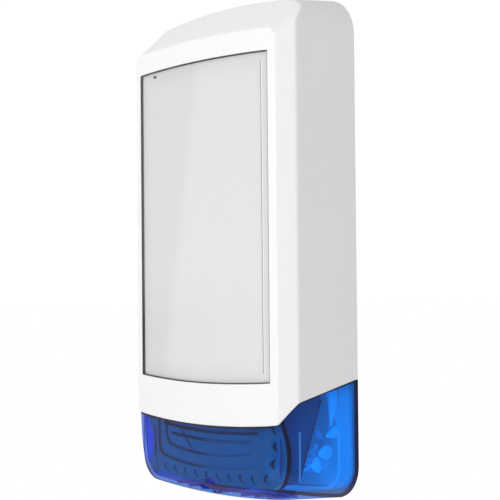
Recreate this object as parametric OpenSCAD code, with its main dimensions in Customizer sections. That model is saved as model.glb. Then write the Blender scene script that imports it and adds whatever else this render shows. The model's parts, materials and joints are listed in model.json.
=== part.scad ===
// Outdoor alarm siren with a strobe: a tall white cover over a blue lens, hinged on a wall plate.
// The origin is the centre of the face that meets the wall. X runs to the right seen from the
// front, +Y runs into the wall and Z is up, so the front of the cover faces -Y.

/* [Cover] */
// Width over the rim that meets the wall
body_w = 177.4; // [172:1:184]
// Height of the rim's top above the origin, on the centre line
top_z = 164; // [160:1:168]
// Height of the rim's bottom below the origin, on the centre line
bottom_z = 162.5; // [160:0.5:166]
// Depth from the wall to the middle of the front face
body_d = 60.4; // [58:0.2:64]
// Wall thickness of the cover and the lens
wall = 2.5; // [2:0.1:3]
// How far the middle of the front face stands proud of its side edges
face_bow = 4; // [2:0.5:6]
// Half width of the front face
face_half_w = 77; // [74:1:80]
// Corner radius at the top of the rim
top_r = 25; // [20:1:30]
// Corner radius at the bottom of the rim
bottom_r = 22; // [18:1:26]

/* [Front insert] */
// Half width of the recess in the front face
panel_half_w = 70.8; // [66:0.2:72]
// Height of the recess's top edge
panel_top = 122.9; // [110:1:125]
// Height of the recess's bottom edge
panel_bottom = -84; // [-86:1:-60]
// Depth of the recess
panel_depth = 2.4; // [2:0.1:2.6]

/* [Hinge] */
// Distance of the hinge axis from the wall
hinge_y = 14; // [13.5:0.5:15]
// Height of the hinge axis
hinge_z = 154.5; // [153:0.5:155]
// Radius of the hinge pins
pin_r = 1.5; // [1.25:0.05:1.6]
// Distance of each hinge pin's middle from the centre line
hinge_x = 40; // [34:1:46]

/* [Wall plate] */
// Thickness of the wall plate
plate_t = 3; // [2.5:0.5:3.5]
// Distance between the wall screws, across
wall_hole_dx = 144; // [140:1:148]
// Distance between the wall screws, up and down
wall_hole_dz = 180; // [170:1:186]
// Radius of each wall screw's hole
wall_hole_r = 2.5; // [2:0.1:3]
// Radius of the cable's way through the grommet
cable_r = 5; // [4:0.5:6]

/* [Cover screw] */
// Radius of the screw's shank
screw_r = 2; // [1.75:0.05:2.1]
// Height of the screw's axis
screw_z = -155.5; // [-156:0.5:-155]

/* [Electronics] */
// Width of the circuit board
board_w = 110; // [104:1:114]
// Height of the circuit board
board_h = 100; // [98:1:102]
// Radius of one battery cell
cell_r = 7; // [6.5:0.1:7.2]
// Length of one battery cell
cell_l = 49; // [44:1:50]

/* [Hidden] */

// Fine enough for the wide arcs of the shell
big_fn = 720;
$fn = 48;

// How much narrower the cover is at the edge of its side faces than at the rim, per side
side_draft = 3.1;
// Depth at which the side faces end and the side bevels begin
side_edge_d = 46;
// Depth of the front face's side edges
face_edge_d = body_d - face_bow;
rim_x = body_w / 2;
edge_x = rim_x - side_draft;
// The outlines run this far behind the wall and in front of the cover before they are cut
past_wall = 20;
past_front = 65;
// Radius of the front face, seen from above
face_r = (face_half_w * face_half_w + face_bow * face_bow) / (2 * face_bow);

// Radii of the arched top and the bowed bottom at the rim, seen from the front
top_arc_r = 556;
bottom_arc_r = 754;
top_arc_z = top_z - top_arc_r;
bottom_arc_z = bottom_arc_r - bottom_z;
// Where the top's and the bottom's bevels begin, and how they fall
top_bevel_d = 35;
top_draft = 2.75 / 35;
top_bevel_slope = 0.9035;
bottom_bevel_d = 47;
bottom_draft = 2.5 / 47;
bottom_bevel_slope = 9 / 13.4;

// The rim stays clear of the wall, and follows a cylinder about the hinge above the hinge axis
rim_gap = 0.3;
// The line that parts the cover from the lens, as depth and height, from the wall to the front.
// Its bends lie just off the edges of the side and the front face, which keeps the cut clean
split = [[0, -82.9], [0.8 - side_edge_d, -94.9], [-face_edge_d - 0.8, -110.5], [-past_front, -118.1]];
split_gap = 0.3;

// Room between the cover's inner wall and the wall plate, and the plate's top edge
plate_gap = 0.6;
plate_top = 145;
// The plate's upstand ends here
rim_top = 134;
// Running room for a pin or a plunger in its hole
run_gap = 0.06;

// Board: distance of its back face from the wall, its thickness and its middle's height
board_back = 11;
board_t = 1.6;
board_z = 12;
board_front = board_back + board_t;
post_x = board_w / 2 - 5;
post_dz = board_h / 2 - 6;

// Tamper axis, on the board
tamper_x = 38;
tamper_z = 30;
// The cover's post ends here, and the plunger's cap rests this far behind it
tamper_post_d = 40;

// Battery: height of its middle row and depth of the cells' axes
battery_z = 100;
battery_d = 11.6;
cell_pitch = 14.5;

// Sounder housing, seen from the side: a wedge with a sloping back
housing_top = -74;
housing_bottom = -148;
housing_half_w = 70;
housing_front = 49;
housing_back_top = 8;
housing_back_bottom = 35;
housing_wall = 2;
housing_h = housing_top - housing_bottom;
housing_tilt = atan2(housing_back_bottom - housing_back_top, housing_h);
housing_posts = [[-56, -84], [56, -84], [-56, -138], [56, -138]];
// How far the housing's pads stand behind its sloping back, on their axes
pad_proud = 2.5;
// The reflector's face follows the cover's front face at this distance behind it
reflector_gap = 5.2;
reflector_r = face_r - reflector_gap;
reflector_front = body_d - reflector_gap;
// Number of sound holes along the reflector's lower edge
crescent_n = 11;
// The reflector's screws
screw_post_x = 62;
screw_post_z = -80;
// Where the sounder's lead enters the housing
lead_x = 30;

// Terminal block: number of ways, their pitch, the block's height and its left end
terminal_n = 8;
terminal_pitch = 6;
terminal_z = -31;
terminal_left = -46;
// The battery's and the sounder's sockets on the board, as x and z
plug_sites = [[8, 54], [38, -32]];

cable_z = -55;
level_z = 68;
lens_screw_x = 76.5;
lens_screw_z = -90.5;

// ---------- shared shapes ----------

function unit(v) = v / norm(v);
// The normal of the edge from a to b that points into an anticlockwise outline
function inward(a, b) = let (d = unit(b - a)) [-d[1], d[0]];
// An anticlockwise outline moved in by t along every edge
function inset(pts, t) = let (n = len(pts)) [
    for (i = [0 : n - 1]) let (
        a = inward(pts[(i + n - 1) % n], pts[i]),
        b = inward(pts[i], pts[(i + 1) % n])
    ) pts[i] + t * (a + b) / (1 + a * b)
];

// Turns a shape drawn in X and Z, with its thickness upwards, to stand at depth d and grow forwards
module at_depth(d) {
    translate([0, -d, 0]) rotate([90, 0, 0]) children();
}

// A round bar along Y between two depths
module bar(x, z, r, d0, d1) {
    translate([x, 0, z]) at_depth(d0) cylinder(r = r, h = d1 - d0);
}

// A box between two depths, centred on x and z
module block(x, z, w, h, d0, d1) {
    translate([x - w / 2, -d1, z - h / 2]) cube([w, d1 - d0, h]);
}

// A prism along X from an outline in depth and height
module side_prism(pts, x0, x1) {
    translate([x0, 0, 0]) rotate([90, 0, 90]) linear_extrude(height = x1 - x0) polygon(pts);
}

// The plan of the body, seen from above, moved in by t
module plan(t) {
    bevel_run = (edge_x - face_half_w) / (face_edge_d - side_edge_d);
    far_x = edge_x - (past_front - side_edge_d) * bevel_run;
    wall_x = rim_x + past_wall * side_draft / side_edge_d;
    outline = [
        [-far_x, -past_front], [far_x, -past_front], [edge_x, -side_edge_d],
        [wall_x, past_wall], [-wall_x, past_wall], [-edge_x, -side_edge_d]
    ];
    translate([0, 0, -200]) linear_extrude(height = 400) polygon(inset(outline, t));
}

// A disc about a Y axis whose rim is the arched top or the bowed bottom of the body
module arched_disc(centre_z, r, draft, bevel_d, bevel_slope, t) {
    bevel_r = r - bevel_d * draft;
    outline = [
        [0, -past_wall], [r + past_wall * draft, -past_wall], [bevel_r, bevel_d],
        [bevel_r - (past_front - bevel_d) * bevel_slope, past_front], [0, past_front]
    ];
    translate([0, 0, centre_z]) rotate([90, 0, 0])
        rotate_extrude($fn = big_fn) polygon(inset(outline, t));
}

// What a rounded corner of the rim takes away. up is 1 at the top and -1 at the bottom
module corner_cut(side, up, r, arc_r, arc_z, t) {
    reach = 60;
    // The corner's circle stands a little proud, so that it crosses its neighbours cleanly
    proud = 0.15;
    cx = rim_x - r + proud;
    cz = arc_z + up * sqrt(pow(arc_r - r, 2) - pow(cx, 2));
    lean = asin(cx / (arc_r - r));
    taper = side_draft / side_edge_d;
    translate([side * cx, 0, cz]) to_corner(side, up) difference() {
        at_depth(-past_wall) linear_extrude(height = past_wall + past_front)
            polygon([[0, 0], [reach, 0], [reach, reach], [reach * sin(lean), reach]]);
        at_depth(-past_wall - 1) cylinder(
            r1 = r - t + taper * (past_wall + 1), r2 = r - t - taper * (past_front + 1),
            h = past_wall + past_front + 2, $fn = 180
        );
    }
}

// Mirrors a shape drawn for the top right corner to another corner
module to_corner(side, up) {
    mirror([side < 0 ? 1 : 0, 0, 0]) mirror([0, 0, up < 0 ? 1 : 0]) children();
}

// The body as a solid, with every face moved in by t. It is open-ended behind the wall
module envelope(t) {
    difference() {
        intersection() {
            plan(t);
            translate([0, face_r - body_d, -200]) cylinder(r = face_r - t, h = 400, $fn = big_fn);
            arched_disc(top_arc_z, top_arc_r, top_draft, top_bevel_d, top_bevel_slope, t);
            arched_disc(bottom_arc_z, bottom_arc_r, bottom_draft, bottom_bevel_d, bottom_bevel_slope, t);
        }
        for (side = [-1, 1]) {
            corner_cut(side, 1, top_r, top_arc_r, top_arc_z, t);
            corner_cut(side, -1, bottom_r, bottom_arc_r, bottom_arc_z, t);
        }
    }
}

// Everything between two depths
module slab(d0, d1) {
    translate([-120, -d1, -200]) cube([240, d1 - d0, 400]);
}

// Everything above the line between cover and lens, raised by dz
module above_split(dz) {
    far = 250;
    side_prism(
        [
            [past_wall, split[0][1] + dz], [0, far], [-past_front, far],
            split[3] + [0, dz], split[2] + [0, dz], split[1] + [0, dz], split[0] + [0, dz]
        ],
        -120, 120
    );
}

// A helical spring along -Y. It starts at depth d0, and its wire is a chain of short prisms
module coil(x, z, r, wire_r, d0, d1, turns) {
    sides = 6;
    steps = turns * 16;
    rise = (d1 - d0 - 2 * wire_r) / steps;
    points = [
        for (i = [0 : steps]) for (j = [0 : sides - 1]) let (
            a = i * 22.5,
            out = r + wire_r * cos(j * 360 / sides)
        ) [out * cos(a), out * sin(a), wire_r + i * rise + wire_r * sin(j * 360 / sides)]
    ];
    skin = [
        for (i = [0 : steps - 1]) for (j = [0 : sides - 1]) let (k = (j + 1) % sides)
            [i * sides + j, i * sides + k, (i + 1) * sides + k, (i + 1) * sides + j]
    ];
    first = [for (j = [sides - 1 : -1 : 0]) j];
    last = [for (j = [0 : sides - 1]) steps * sides + j];
    translate([x, 0, z]) at_depth(d0) polyhedron(points, concat([first], skin, [last]), convexity = 10);
}

// A round lead through a list of points. The balls at its bends stand a little proud of it
module lead(points, r) {
    for (i = [0 : len(points) - 2]) {
        run = points[i + 1] - points[i];
        translate(points[i]) rotate([0, acos(run[2] / norm(run)), atan2(run[1], run[0])])
            cylinder(r = r, h = norm(run), $fn = 24);
        if (i > 0) translate(points[i]) sphere(r = r * 1.06, $fn = 24);
    }
}

// A pan-head screw whose head sits on depth seat, with its shank running back towards the wall
module pan_screw(x, z, r, head_r, head_h, seat, tip) {
    difference() {
        union() {
            bar(x, z, head_r, seat, seat + head_h);
            bar(x, z, r, tip, seat + 0.1);
        }
        cross_recess(x, z, head_r * 1.1, 0.8, seat + head_h - 1.2, seat + head_h + 1);
    }
}

// A cross-shaped recess for a driver
module cross_recess(x, z, size, slot, d0, d1) {
    block(x, z, size, slot, d0, d1);
    block(x, z, slot, size, d0, d1);
}

// ---------- wall plate and what is fixed to it ----------

module back_plate() {
    edge = wall + plate_gap;
    color("whitesmoke") difference() {
        union() {
            intersection() {
                envelope(edge);
                slab(0, plate_t);
                plate_outline();
            }
            plate_rim(edge + 2, 8);
            plate_posts();
            battery_ledges();
            hinge_arms();
            level_clips();
            block(0, screw_z + 0.6, 12, 8.2, plate_t - 1, 14);
        }
        plate_holes();
    }
}

// The plate seen from the front. Its top corners are cut back, clear of the cover as that swings
module plate_outline() {
    chamfer_x = 78;
    far = 120;
    at_depth(-10) linear_extrude(height = 20) polygon([
        [-far, -200], [far, -200], [far, plate_top - (far - chamfer_x)],
        [chamfer_x, plate_top], [-chamfer_x, plate_top], [-far, plate_top - (far - chamfer_x)]
    ]);
}

// The upstand around the plate, inside the cover
module plate_rim(t, h) {
    intersection() {
        difference() {
            envelope(t);
            envelope(t + 2);
        }
        slab(plate_t - 1, plate_t + h);
        translate([-120, -30, -200]) cube([240, 40, 200 + rim_top]);
    }
}

// The posts that carry the board and the sounder housing
module plate_posts() {
    for (x = [-post_x, post_x]) for (dz = [-post_dz, post_dz])
        bar(x, board_z + dz, 3.6, plate_t - 1, board_back);
    for (p = housing_posts)
        bar(p[0], p[1], 4.5, plate_t - 1, housing_back_at(p[1]) - pad_proud - 0.1);
    // Side gussets that steady the housing
    for (x = [-73, 73])
        side_prism([[-plate_t + 1, -86], [-plate_t + 1, -114], [-6, -112], [-15, -88], [-15, -86]],
            x - 1, x + 1);
}

// Depth of the housing's sloping back at a height
function housing_back_at(z) = housing_back_top + (housing_top - z) * tan(housing_tilt);

module battery_ledges() {
    half_h = cell_pitch + cell_r + 1.2;
    half_w = cell_l + 3.5;
    for (s = [-1, 1]) {
        block(0, battery_z + s * half_h, 2 * half_w, 1.8, plate_t - 1, 14);
        block(s * half_w, battery_z, 1.8, 2 * half_h, plate_t - 1, 10);
    }
}

module hinge_arms() {
    for (s = [-1, 1]) {
        bar_x(s * hinge_x, hinge_y, hinge_z, 3.8, 8);
        // The arm goes down in front of the space that the cover's top edge swings through
        block(s * hinge_x, hinge_z - 12.5, 8, 25, hinge_y - 2.4, hinge_y + 3.6);
        block(s * hinge_x, hinge_z - 21, 8, 8, plate_t - 1, hinge_y);
    }
}

// A round bar along X, centred on x
module bar_x(x, d, z, r, l) {
    translate([x - l / 2, -d, z]) rotate([0, 90, 0]) cylinder(r = r, h = l);
}

module level_clips() {
    for (x = [-13, 13]) block(x, level_z, 4, 12.5, plate_t - 1, plate_t + 7);
}

module plate_holes() {
    for (x = [-wall_hole_dx / 2, wall_hole_dx / 2]) for (z = [-1, 1])
        bar(x, 25 + z * wall_hole_dz / 2, wall_hole_r, -1, plate_t + 1);
    bar(0, cable_z, cable_r + 3, -1, plate_t + 1);
    bar(tamper_x, tamper_z, 2 + run_gap, -1, plate_t + 1);
    for (x = [-post_x, post_x]) for (dz = [-post_dz, post_dz])
        bar(x, board_z + dz, 1.3, plate_t, board_back + 1);
    for (p = housing_posts) bar(p[0], p[1], 1.3, plate_t, housing_back_at(p[1]) + 1);
    for (s = [-1, 1]) bar_x(s * hinge_x, hinge_y, hinge_z, pin_r + 0.02, 20);
    bar_x(0, plate_t + 4.8, level_z, 4.55, 60);
    bar(0, screw_z, 3, 4.5, 20);
}

module cable_grommet() {
    color("dimgray") difference() {
        union() {
            bar(0, cable_z, cable_r + 2.98, 0.02, plate_t + 1);
            bar(0, cable_z, cable_r + 5, plate_t + 0.02, plate_t + 2);
        }
        bar(0, cable_z, cable_r, -1, plate_t + 3);
    }
}

module spirit_level() {
    color("yellowgreen") bar_x(0, plate_t + 4.8, level_z, 4.5, 38);
}

module hinge_pins() {
    color("silver") for (s = [-1, 1]) bar_x(s * hinge_x, hinge_y, hinge_z, pin_r, 19);
}

module screw_insert() {
    color("goldenrod") difference() {
        bar(0, screw_z, 2.98, 5.4, 12.6);
        bar(0, screw_z, screw_r + 0.25, 4, 14);
    }
}

// ---------- circuit board ----------

module circuit_board() {
    color("darkgreen") difference() {
        block(0, board_z, board_w, board_h, board_back, board_front);
        for (x = [-post_x, post_x]) for (dz = [-post_dz, post_dz])
            bar(x, board_z + dz, 1.7, board_back - 1, board_front + 1);
        bar(tamper_x, tamper_z, 4.5, board_back - 1, board_front + 1);
    }
}

module board_screws() {
    color("silver") for (x = [-post_x, post_x]) for (dz = [-post_dz, post_dz])
        pan_screw(x, board_z + dz, 1.28, 2.8, 1.8, board_front, plate_t + 1);
}

function terminal_x(i) = terminal_left + (i + 0.5) * terminal_pitch;

module terminal_block() {
    color("seagreen") difference() {
        block(terminal_left + terminal_n * terminal_pitch / 2, terminal_z, terminal_n * terminal_pitch, 9,
            board_front, board_front + 11);
        for (i = [0 : terminal_n - 1]) {
            bar(terminal_x(i), terminal_z + 1, 1.9, board_front + 6, board_front + 12);
            block(terminal_x(i), terminal_z - 3, 4, 5, board_front + 1.5, board_front + 6);
        }
    }
}

module terminal_screws() {
    color("silver") for (i = [0 : terminal_n - 1]) difference() {
        bar(terminal_x(i), terminal_z + 1, 1.85, board_front + 6.02, board_front + 9);
        block(terminal_x(i), terminal_z + 1, 4, 0.6, board_front + 8.2, board_front + 10);
    }
}

module board_chips() {
    // Each chip as centre x, centre z, width and height
    chips = [[-8, 24, 12, 12], [-32, 30, 5, 9], [12, 8, 7, 5], [-30, 12, 8, 5], [14, 42, 5, 6]];
    color("dimgray") for (c = chips) difference() {
        block(c[0], c[1], c[2], c[3], board_front, board_front + 1.7);
        bar(c[0] - c[2] / 2 + 1.2, c[1] + c[3] / 2 - 1.2, 0.5, board_front + 1.5, board_front + 2);
    }
}

module board_capacitors() {
    // Each capacitor as x, z, radius and length
    cans = [[16, -12, 5, 16], [30, -13, 5, 16], [-44, 44, 4, 11], [28, 6, 3.2, 8]];
    color("midnightblue") for (c = cans) difference() {
        bar(c[0], c[1], c[2], board_front, board_front + c[3]);
        cross_recess(c[0], c[1], c[2] * 1.2, 0.4, board_front + c[3] - 0.3, board_front + c[3] + 1);
    }
}

module drive_transformer() {
    color("goldenrod") {
        block(-36, -7, 16, 13, board_front, board_front + 3);
        bar(-36, -7, 6.2, board_front + 2.9, board_front + 11);
        block(-36, -7, 16, 5, board_front + 10.9, board_front + 14);
    }
}

module drive_transistors() {
    color("black") for (x = [-12, 0]) {
        block(x, -10, 10, 4.5, board_front + 3, board_front + 12);
        block(x, -8, 10, 1.2, board_front + 3, board_front + 18);
        for (dx = [-2.5, 0, 2.5]) block(x + dx, -10, 0.8, 0.6, board_front, board_front + 3.1);
    }
}

module program_header() {
    color("black") {
        block(-16, 50, 13, 5.2, board_front, board_front + 2.5);
        for (i = [0 : 4]) for (dz = [-1.27, 1.27])
            block(-21 + i * 2.54, 50 + dz, 0.64, 0.64, board_front + 2.4, board_front + 8.5);
    }
}

module board_connectors() {
    color("ivory") for (p = plug_sites) difference() {
        block(p[0], p[1], 10, 6, board_front, board_front + 8);
        block(p[0], p[1], 8, 4, board_front + 4, board_front + 9);
    }
}

// ---------- tamper ----------

module tamper_switch() {
    color("black") difference() {
        block(tamper_x, tamper_z, 14, 14, board_front, board_front + 8);
        bar(tamper_x, tamper_z, 1.5 + run_gap, board_front + 1.5, board_front + 9);
    }
}

module tamper_plunger() {
    color("ivory") {
        bar(tamper_x, tamper_z, 1.5, board_front + 3, tamper_post_d - 5);
        bar(tamper_x, tamper_z, 4, tamper_post_d - 6, tamper_post_d - 0.2);
    }
}

module tamper_spring() {
    color("silver") coil(tamper_x, tamper_z, 2.8, 0.35, board_front + 8.05, tamper_post_d - 6.05, 6);
}

module wall_plunger() {
    color("ivory") {
        bar(tamper_x, tamper_z, 2, 0, 6.4);
        bar(tamper_x, tamper_z, 3.6, 6.2, 7.4);
    }
}

module wall_spring() {
    color("silver") coil(tamper_x, tamper_z, 2.9, 0.3, 7.45, board_front - 0.05, 4);
}

// ---------- battery ----------

module battery_cells() {
    color("seagreen") for (s = [-1, 1]) for (i = [-1, 0, 1]) {
        z = battery_z + i * cell_pitch;
        bar_x(s * (cell_l / 2 + 0.6), battery_d, z, cell_r, cell_l);
        bar_x(s * (cell_l + 0.6), battery_d, z, 2.6, 2.4);
    }
}

module battery_strap() {
    half_h = cell_pitch + cell_r + 2.3;
    front = battery_d + cell_r + 0.3;
    color("dimgray") {
        block(0, battery_z, 16, 2 * half_h + 3.2, front, front + 1.6);
        for (s = [-1, 1]) {
            block(0, battery_z + s * (half_h + 0.8), 16, 1.6, plate_t + 0.1, front + 0.1);
            // Catches under the ledges' ends
            block(0, battery_z + s * (half_h + 2.2), 16, 1.4, front - 6, front - 4.5);
        }
    }
}

module battery_lead() {
    right = cell_l + 6;
    color("firebrick") {
        for (dz = [-1, 1]) lead([
            [cell_l + 2.3, -battery_d, battery_z + dz * cell_pitch],
            [right + dz * 1.2, -battery_d - 1, battery_z + dz * cell_pitch],
            [right + dz * 1.2, -22, battery_z - 24],
            [plug_sites[0][0] + dz * 1.6, -24, plug_sites[0][1] + 10],
            [plug_sites[0][0] + dz * 1.6, -22, plug_sites[0][1]]
        ], 0.9);
        block(plug_sites[0][0], plug_sites[0][1], 7.8, 3.8, board_front + 4.1, board_front + 10);
    }
}

// ---------- sounder and strobe ----------

// The wedge of the sounder housing, moved in by t, and left open at the front
module housing_wedge(t, extra) {
    front = housing_front + extra + t;
    outline = [
        [-housing_back_top, housing_top], [-front, housing_top],
        [-front, housing_bottom], [-housing_back_bottom, housing_bottom]
    ];
    side_prism(inset(outline, t), -housing_half_w + t, housing_half_w - t);
}

module sounder_housing() {
    color("slategray") difference() {
        union() {
            difference() {
                housing_wedge(0, 0);
                housing_wedge(housing_wall, 5);
            }
            // Pads that sit square on the plate's posts
            for (p = housing_posts)
                bar(p[0], p[1], 5.5, housing_back_at(p[1]) - pad_proud, housing_back_at(p[1]) + 6);
            // Bosses for the reflector's screws
            for (x = [-screw_post_x, screw_post_x])
                bar(x, screw_post_z, 3.5, housing_back_at(screw_post_z) + 1, housing_front);
        }
        for (p = housing_posts) bar(p[0], p[1], 1.7, 0, 60);
        for (x = [-screw_post_x, screw_post_x]) bar(x, screw_post_z, 1.2, 40, 60);
        // The way in for the sounder's lead
        bar(lead_x, housing_top - 8, 3, 0, 16);
    }
}

module housing_screws() {
    color("silver") for (p = housing_posts)
        pan_screw(p[0], p[1], 1.28, 2.9, 2, housing_back_at(p[1]) + 6.02, plate_t + 1);
}

// Places a shape on the inside of the housing's sloping back, with the shape's Z as its normal
module on_slope(z, lift) {
    translate([0, -housing_back_at(z), z]) rotate([90 - housing_tilt, 0, 0])
        translate([0, 0, lift]) children();
}

module piezo_driver() {
    color("black") on_slope(-111, housing_wall + 0.5) difference() {
        cylinder(r = 27, h = 8);
        translate([0, 0, 3]) cylinder(r = 24, h = 6);
    }
}

module piezo_disc() {
    color("goldenrod") on_slope(-111, housing_wall + 3.6) {
        cylinder(r = 23.9, h = 0.5);
        translate([0, 0, 0.45]) cylinder(r = 17, h = 0.4);
    }
}

module sounder_lead() {
    plug = plug_sites[1];
    color("firebrick") {
        for (dx = [-1, 1]) lead([
            [lead_x + dx * 1.6, -20, housing_top - 9],
            [lead_x + dx * 1.6, -6.5, housing_top - 6],
            [lead_x + dx * 1.6, -8, housing_top + 8],
            [plug[0] + dx * 1.6, -18, plug[1] - 14],
            [plug[0] + dx * 1.6, -24, plug[1] - 7],
            [plug[0] + dx * 1.6, -22, plug[1]]
        ], 0.8);
        block(plug[0], plug[1], 7.8, 3.8, board_front + 4.1, board_front + 10.6);
    }
}

// A pocket with round lower corners, as a prism along Y that starts at depth d0
module u_pocket(half_w, top, bottom, r, d0) {
    at_depth(d0) linear_extrude(height = 30) union() {
        translate([-half_w, bottom + r]) square([2 * half_w, top - bottom - r]);
        translate([-half_w + r, bottom]) square([2 * half_w - 2 * r, r + 1]);
        for (s = [-1, 1]) translate([s * (half_w - r), bottom + r]) circle(r = r);
    }
}

module strobe_reflector() {
    color("slategray") difference() {
        intersection() {
            block(0, (housing_top + housing_bottom) / 2, 2 * housing_half_w, housing_h,
                housing_front + 0.02, 70);
            translate([0, face_r - body_d, -200]) cylinder(r = reflector_r, h = 300, $fn = big_fn);
        }
        // Three nested steps that face the lens
        u_pocket(59, -112, -139, 9, reflector_front - 1.2);
        u_pocket(51, -116, -131, 7, reflector_front - 2.4);
        block(0, -119.5, 96, 1.6, reflector_front - 3.2, 70);
        block(0, -124.5, 92, 1.6, reflector_front - 3.2, 70);
        // A row of round sound holes along the lower edge and up both sides
        for (i = [0 : crescent_n - 1]) {
            x = (i - (crescent_n - 1) / 2) * 11.6;
            bar(x, -144.4 + 2.2 * pow(x / 58, 2), 2.2, housing_front - 5, 70);
        }
        for (s = [-1, 1]) for (z = [-114, -124, -134]) bar(s * 65.5, z, 1.8, housing_front - 5, 70);
        for (x = [-screw_post_x, screw_post_x]) {
            bar(x, screw_post_z, 1.5, 40, 70);
            bar(x, screw_post_z, 3, housing_front + 1.9, 70);
        }
        // Mouth of the horn
        block(0, -93, 96, 22, 40, 70);
    }
}

module reflector_screws() {
    color("silver") for (x = [-screw_post_x, screw_post_x])
        pan_screw(x, screw_post_z, 1.18, 2.4, 1.6, housing_front + 1.92, 42);
}

module strobe_boards() {
    color("white") for (s = [-1, 1]) on_slope(-120, -1.8)
        translate([s * 66 - 4, -26, 0]) cube([8, 52, 1.6]);
}

module strobe_leds() {
    color("gold") for (s = [-1, 1]) for (z = [-104, -119, -134]) on_slope(z, -1.85)
        translate([s * 66, 0, 0]) mirror([0, 0, 1]) {
            cylinder(r = 3.6, h = 3.2);
            translate([0, 0, 3.2]) intersection() {
                sphere(r = 3.4);
                cylinder(r = 4, h = 4);
            }
        }
}

// ---------- cover ----------

// The outline of the front recess with its arched top and bowed bottom, as a prism along Y
module panel_prism(t, d0) {
    half_w = panel_half_w - t;
    arch_r = 1900;
    arch_rise = 1.3;
    bow_r = 960;
    bow_drop = 2.6;
    intersection() {
        block(0, 0, 2 * half_w, 360, d0, past_front);
        translate([0, 0, panel_top - t + arch_rise - arch_r]) at_depth(d0)
            cylinder(r = arch_r, h = 60, $fn = big_fn);
        translate([0, 0, panel_bottom + t - bow_drop + bow_r]) at_depth(d0)
            cylinder(r = bow_r, h = 60, $fn = big_fn);
    }
}

// Everything behind the front face moved in by t
module behind_face(t) {
    translate([0, face_r - body_d, -200]) cylinder(r = face_r - t, h = 400, $fn = big_fn);
}

// Where the rim would foul the wall as the cover swings, above the hinge axis
module hinge_relief() {
    difference() {
        translate([-120, -hinge_y, hinge_z]) cube([240, 60, 60]);
        translate([-130, -hinge_y, hinge_z]) rotate([0, 90, 0])
            cylinder(r = hinge_y - rim_gap, h = 260, $fn = 180);
    }
}

module cover_shell() {
    tray = panel_depth + 2;
    color("white") difference() {
        union() {
            intersection() {
                difference() {
                    envelope(0);
                    envelope(wall);
                }
                slab(rim_gap, past_front);
                above_split(split_gap / 2);
            }
            // The floor of the recess
            intersection() {
                panel_prism(-2.5, 40);
                behind_face(wall - 0.2);
                difference() {
                    slab(30, past_front);
                    behind_face(tray);
                }
            }
            cover_knuckles();
            bar(tamper_x, tamper_z, 5, tamper_post_d, 55.5);
            for (s = [-1, 1]) lens_boss(s);
        }
        difference() {
            panel_prism(0, 40);
            behind_face(panel_depth);
        }
        hinge_relief();
        for (s = [-1, 1]) bar_x(s * hinge_x, hinge_y, hinge_z, pin_r + run_gap, 30);
        for (s = [-1, 1]) bar(s * lens_screw_x, lens_screw_z, 1.2, 40, 51.5);
    }
}

module cover_knuckles() {
    intersection() {
        for (s = [-1, 1]) for (side = [-1, 1]) {
            x = s * hinge_x + side * 6.8;
            bar_x(x, hinge_y, hinge_z, 4, 4.8);
            block(x, hinge_z + 4, 4.8, 8, hinge_y - 4, hinge_y + 4);
        }
        envelope(wall - 0.5);
    }
}

// A boss behind the side bevel that takes a lens screw
module lens_boss(s) {
    intersection() {
        bar(s * lens_screw_x, lens_screw_z, 3.5, 46.2, 56);
        envelope(wall - 0.5);
    }
}

module blue_lens() {
    lip = wall + split_gap;
    lip_t = 1.5;
    // The lip stays in front of the wall plate
    lip_back = plate_t + 1;
    color("royalblue") difference() {
        union() {
            difference() {
                intersection() {
                    envelope(0);
                    slab(rim_gap, past_front);
                }
                envelope(wall);
                above_split(-split_gap / 2);
            }
            // A thicker band below the joint, and the lip that stands behind the cover's edge
            intersection() {
                difference() {
                    envelope(wall - 0.2);
                    envelope(lip + lip_t);
                    above_split(-split_gap / 2);
                }
                slab(lip_back, past_front);
                above_split(-5);
            }
            intersection() {
                difference() {
                    envelope(lip);
                    envelope(lip + lip_t);
                    above_split(6);
                }
                slab(lip_back, past_front);
                above_split(-4);
            }
            // Ears that stand behind the cover's bosses
            for (s = [-1, 1]) block(s * 77.4, -100, 9.6, 29, 43, 46);
            screw_tunnel();
        }
        // The lip makes way for the cover's bosses
        for (s = [-1, 1]) bar(s * lens_screw_x, lens_screw_z, 4.1, 46, 60);
        bar(0, screw_z, 4.2, 24, past_front + 10);
        bar(0, screw_z, screw_r + 0.1, 15, 30);
        for (s = [-1, 1]) bar(s * lens_screw_x, lens_screw_z, 1.7, 40, 47);
        // Sound and drain slots in the floor
        for (x = [-50, -36, -22, 22, 36, 50])
            translate([x - 1.5, -42, -170]) cube([3, 22, 20]);
    }
}

// The tube that the cover screw sits in, from its back wall to the lower bevel
module screw_tunnel() {
    intersection() {
        union() {
            bar(0, screw_z, 6, 22, past_front);
            block(0, screw_z - 4, 12, 8, 22, past_front);
        }
        envelope(0.4);
    }
}

module lens_screws() {
    color("silver") for (s = [-1, 1]) mirror([0, 1, 0])
        pan_screw(s * lens_screw_x, lens_screw_z, 1.18, 2.6, 1.6, -42.98, -50.5);
}

module front_insert() {
    color("gainsboro") intersection() {
        panel_prism(0.35, 40);
        difference() {
            behind_face(panel_depth - 0.82);
            behind_face(panel_depth - 0.02);
        }
    }
}

module insert_window() {
    color("lightgray") intersection() {
        panel_prism(0.35, 40);
        difference() {
            behind_face(0.15);
            behind_face(panel_depth - 0.84);
            // The hole for the tool that releases the window
            bar(-51.7, 121.8 - 2, 0.8, 40, 70);
        }
    }
}

module screw_retainer() {
    color("ivory") difference() {
        bar(0, screw_z, 3.2, 20.9, 21.98);
        bar(0, screw_z, screw_r + 0.05, 20, 23);
    }
}

module screw_o_ring() {
    color("black") translate([0, 0, screw_z]) at_depth(24.02)
        translate([0, 0, 0.7]) rotate_extrude() translate([2.85, 0]) circle(r = 0.7);
}

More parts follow.
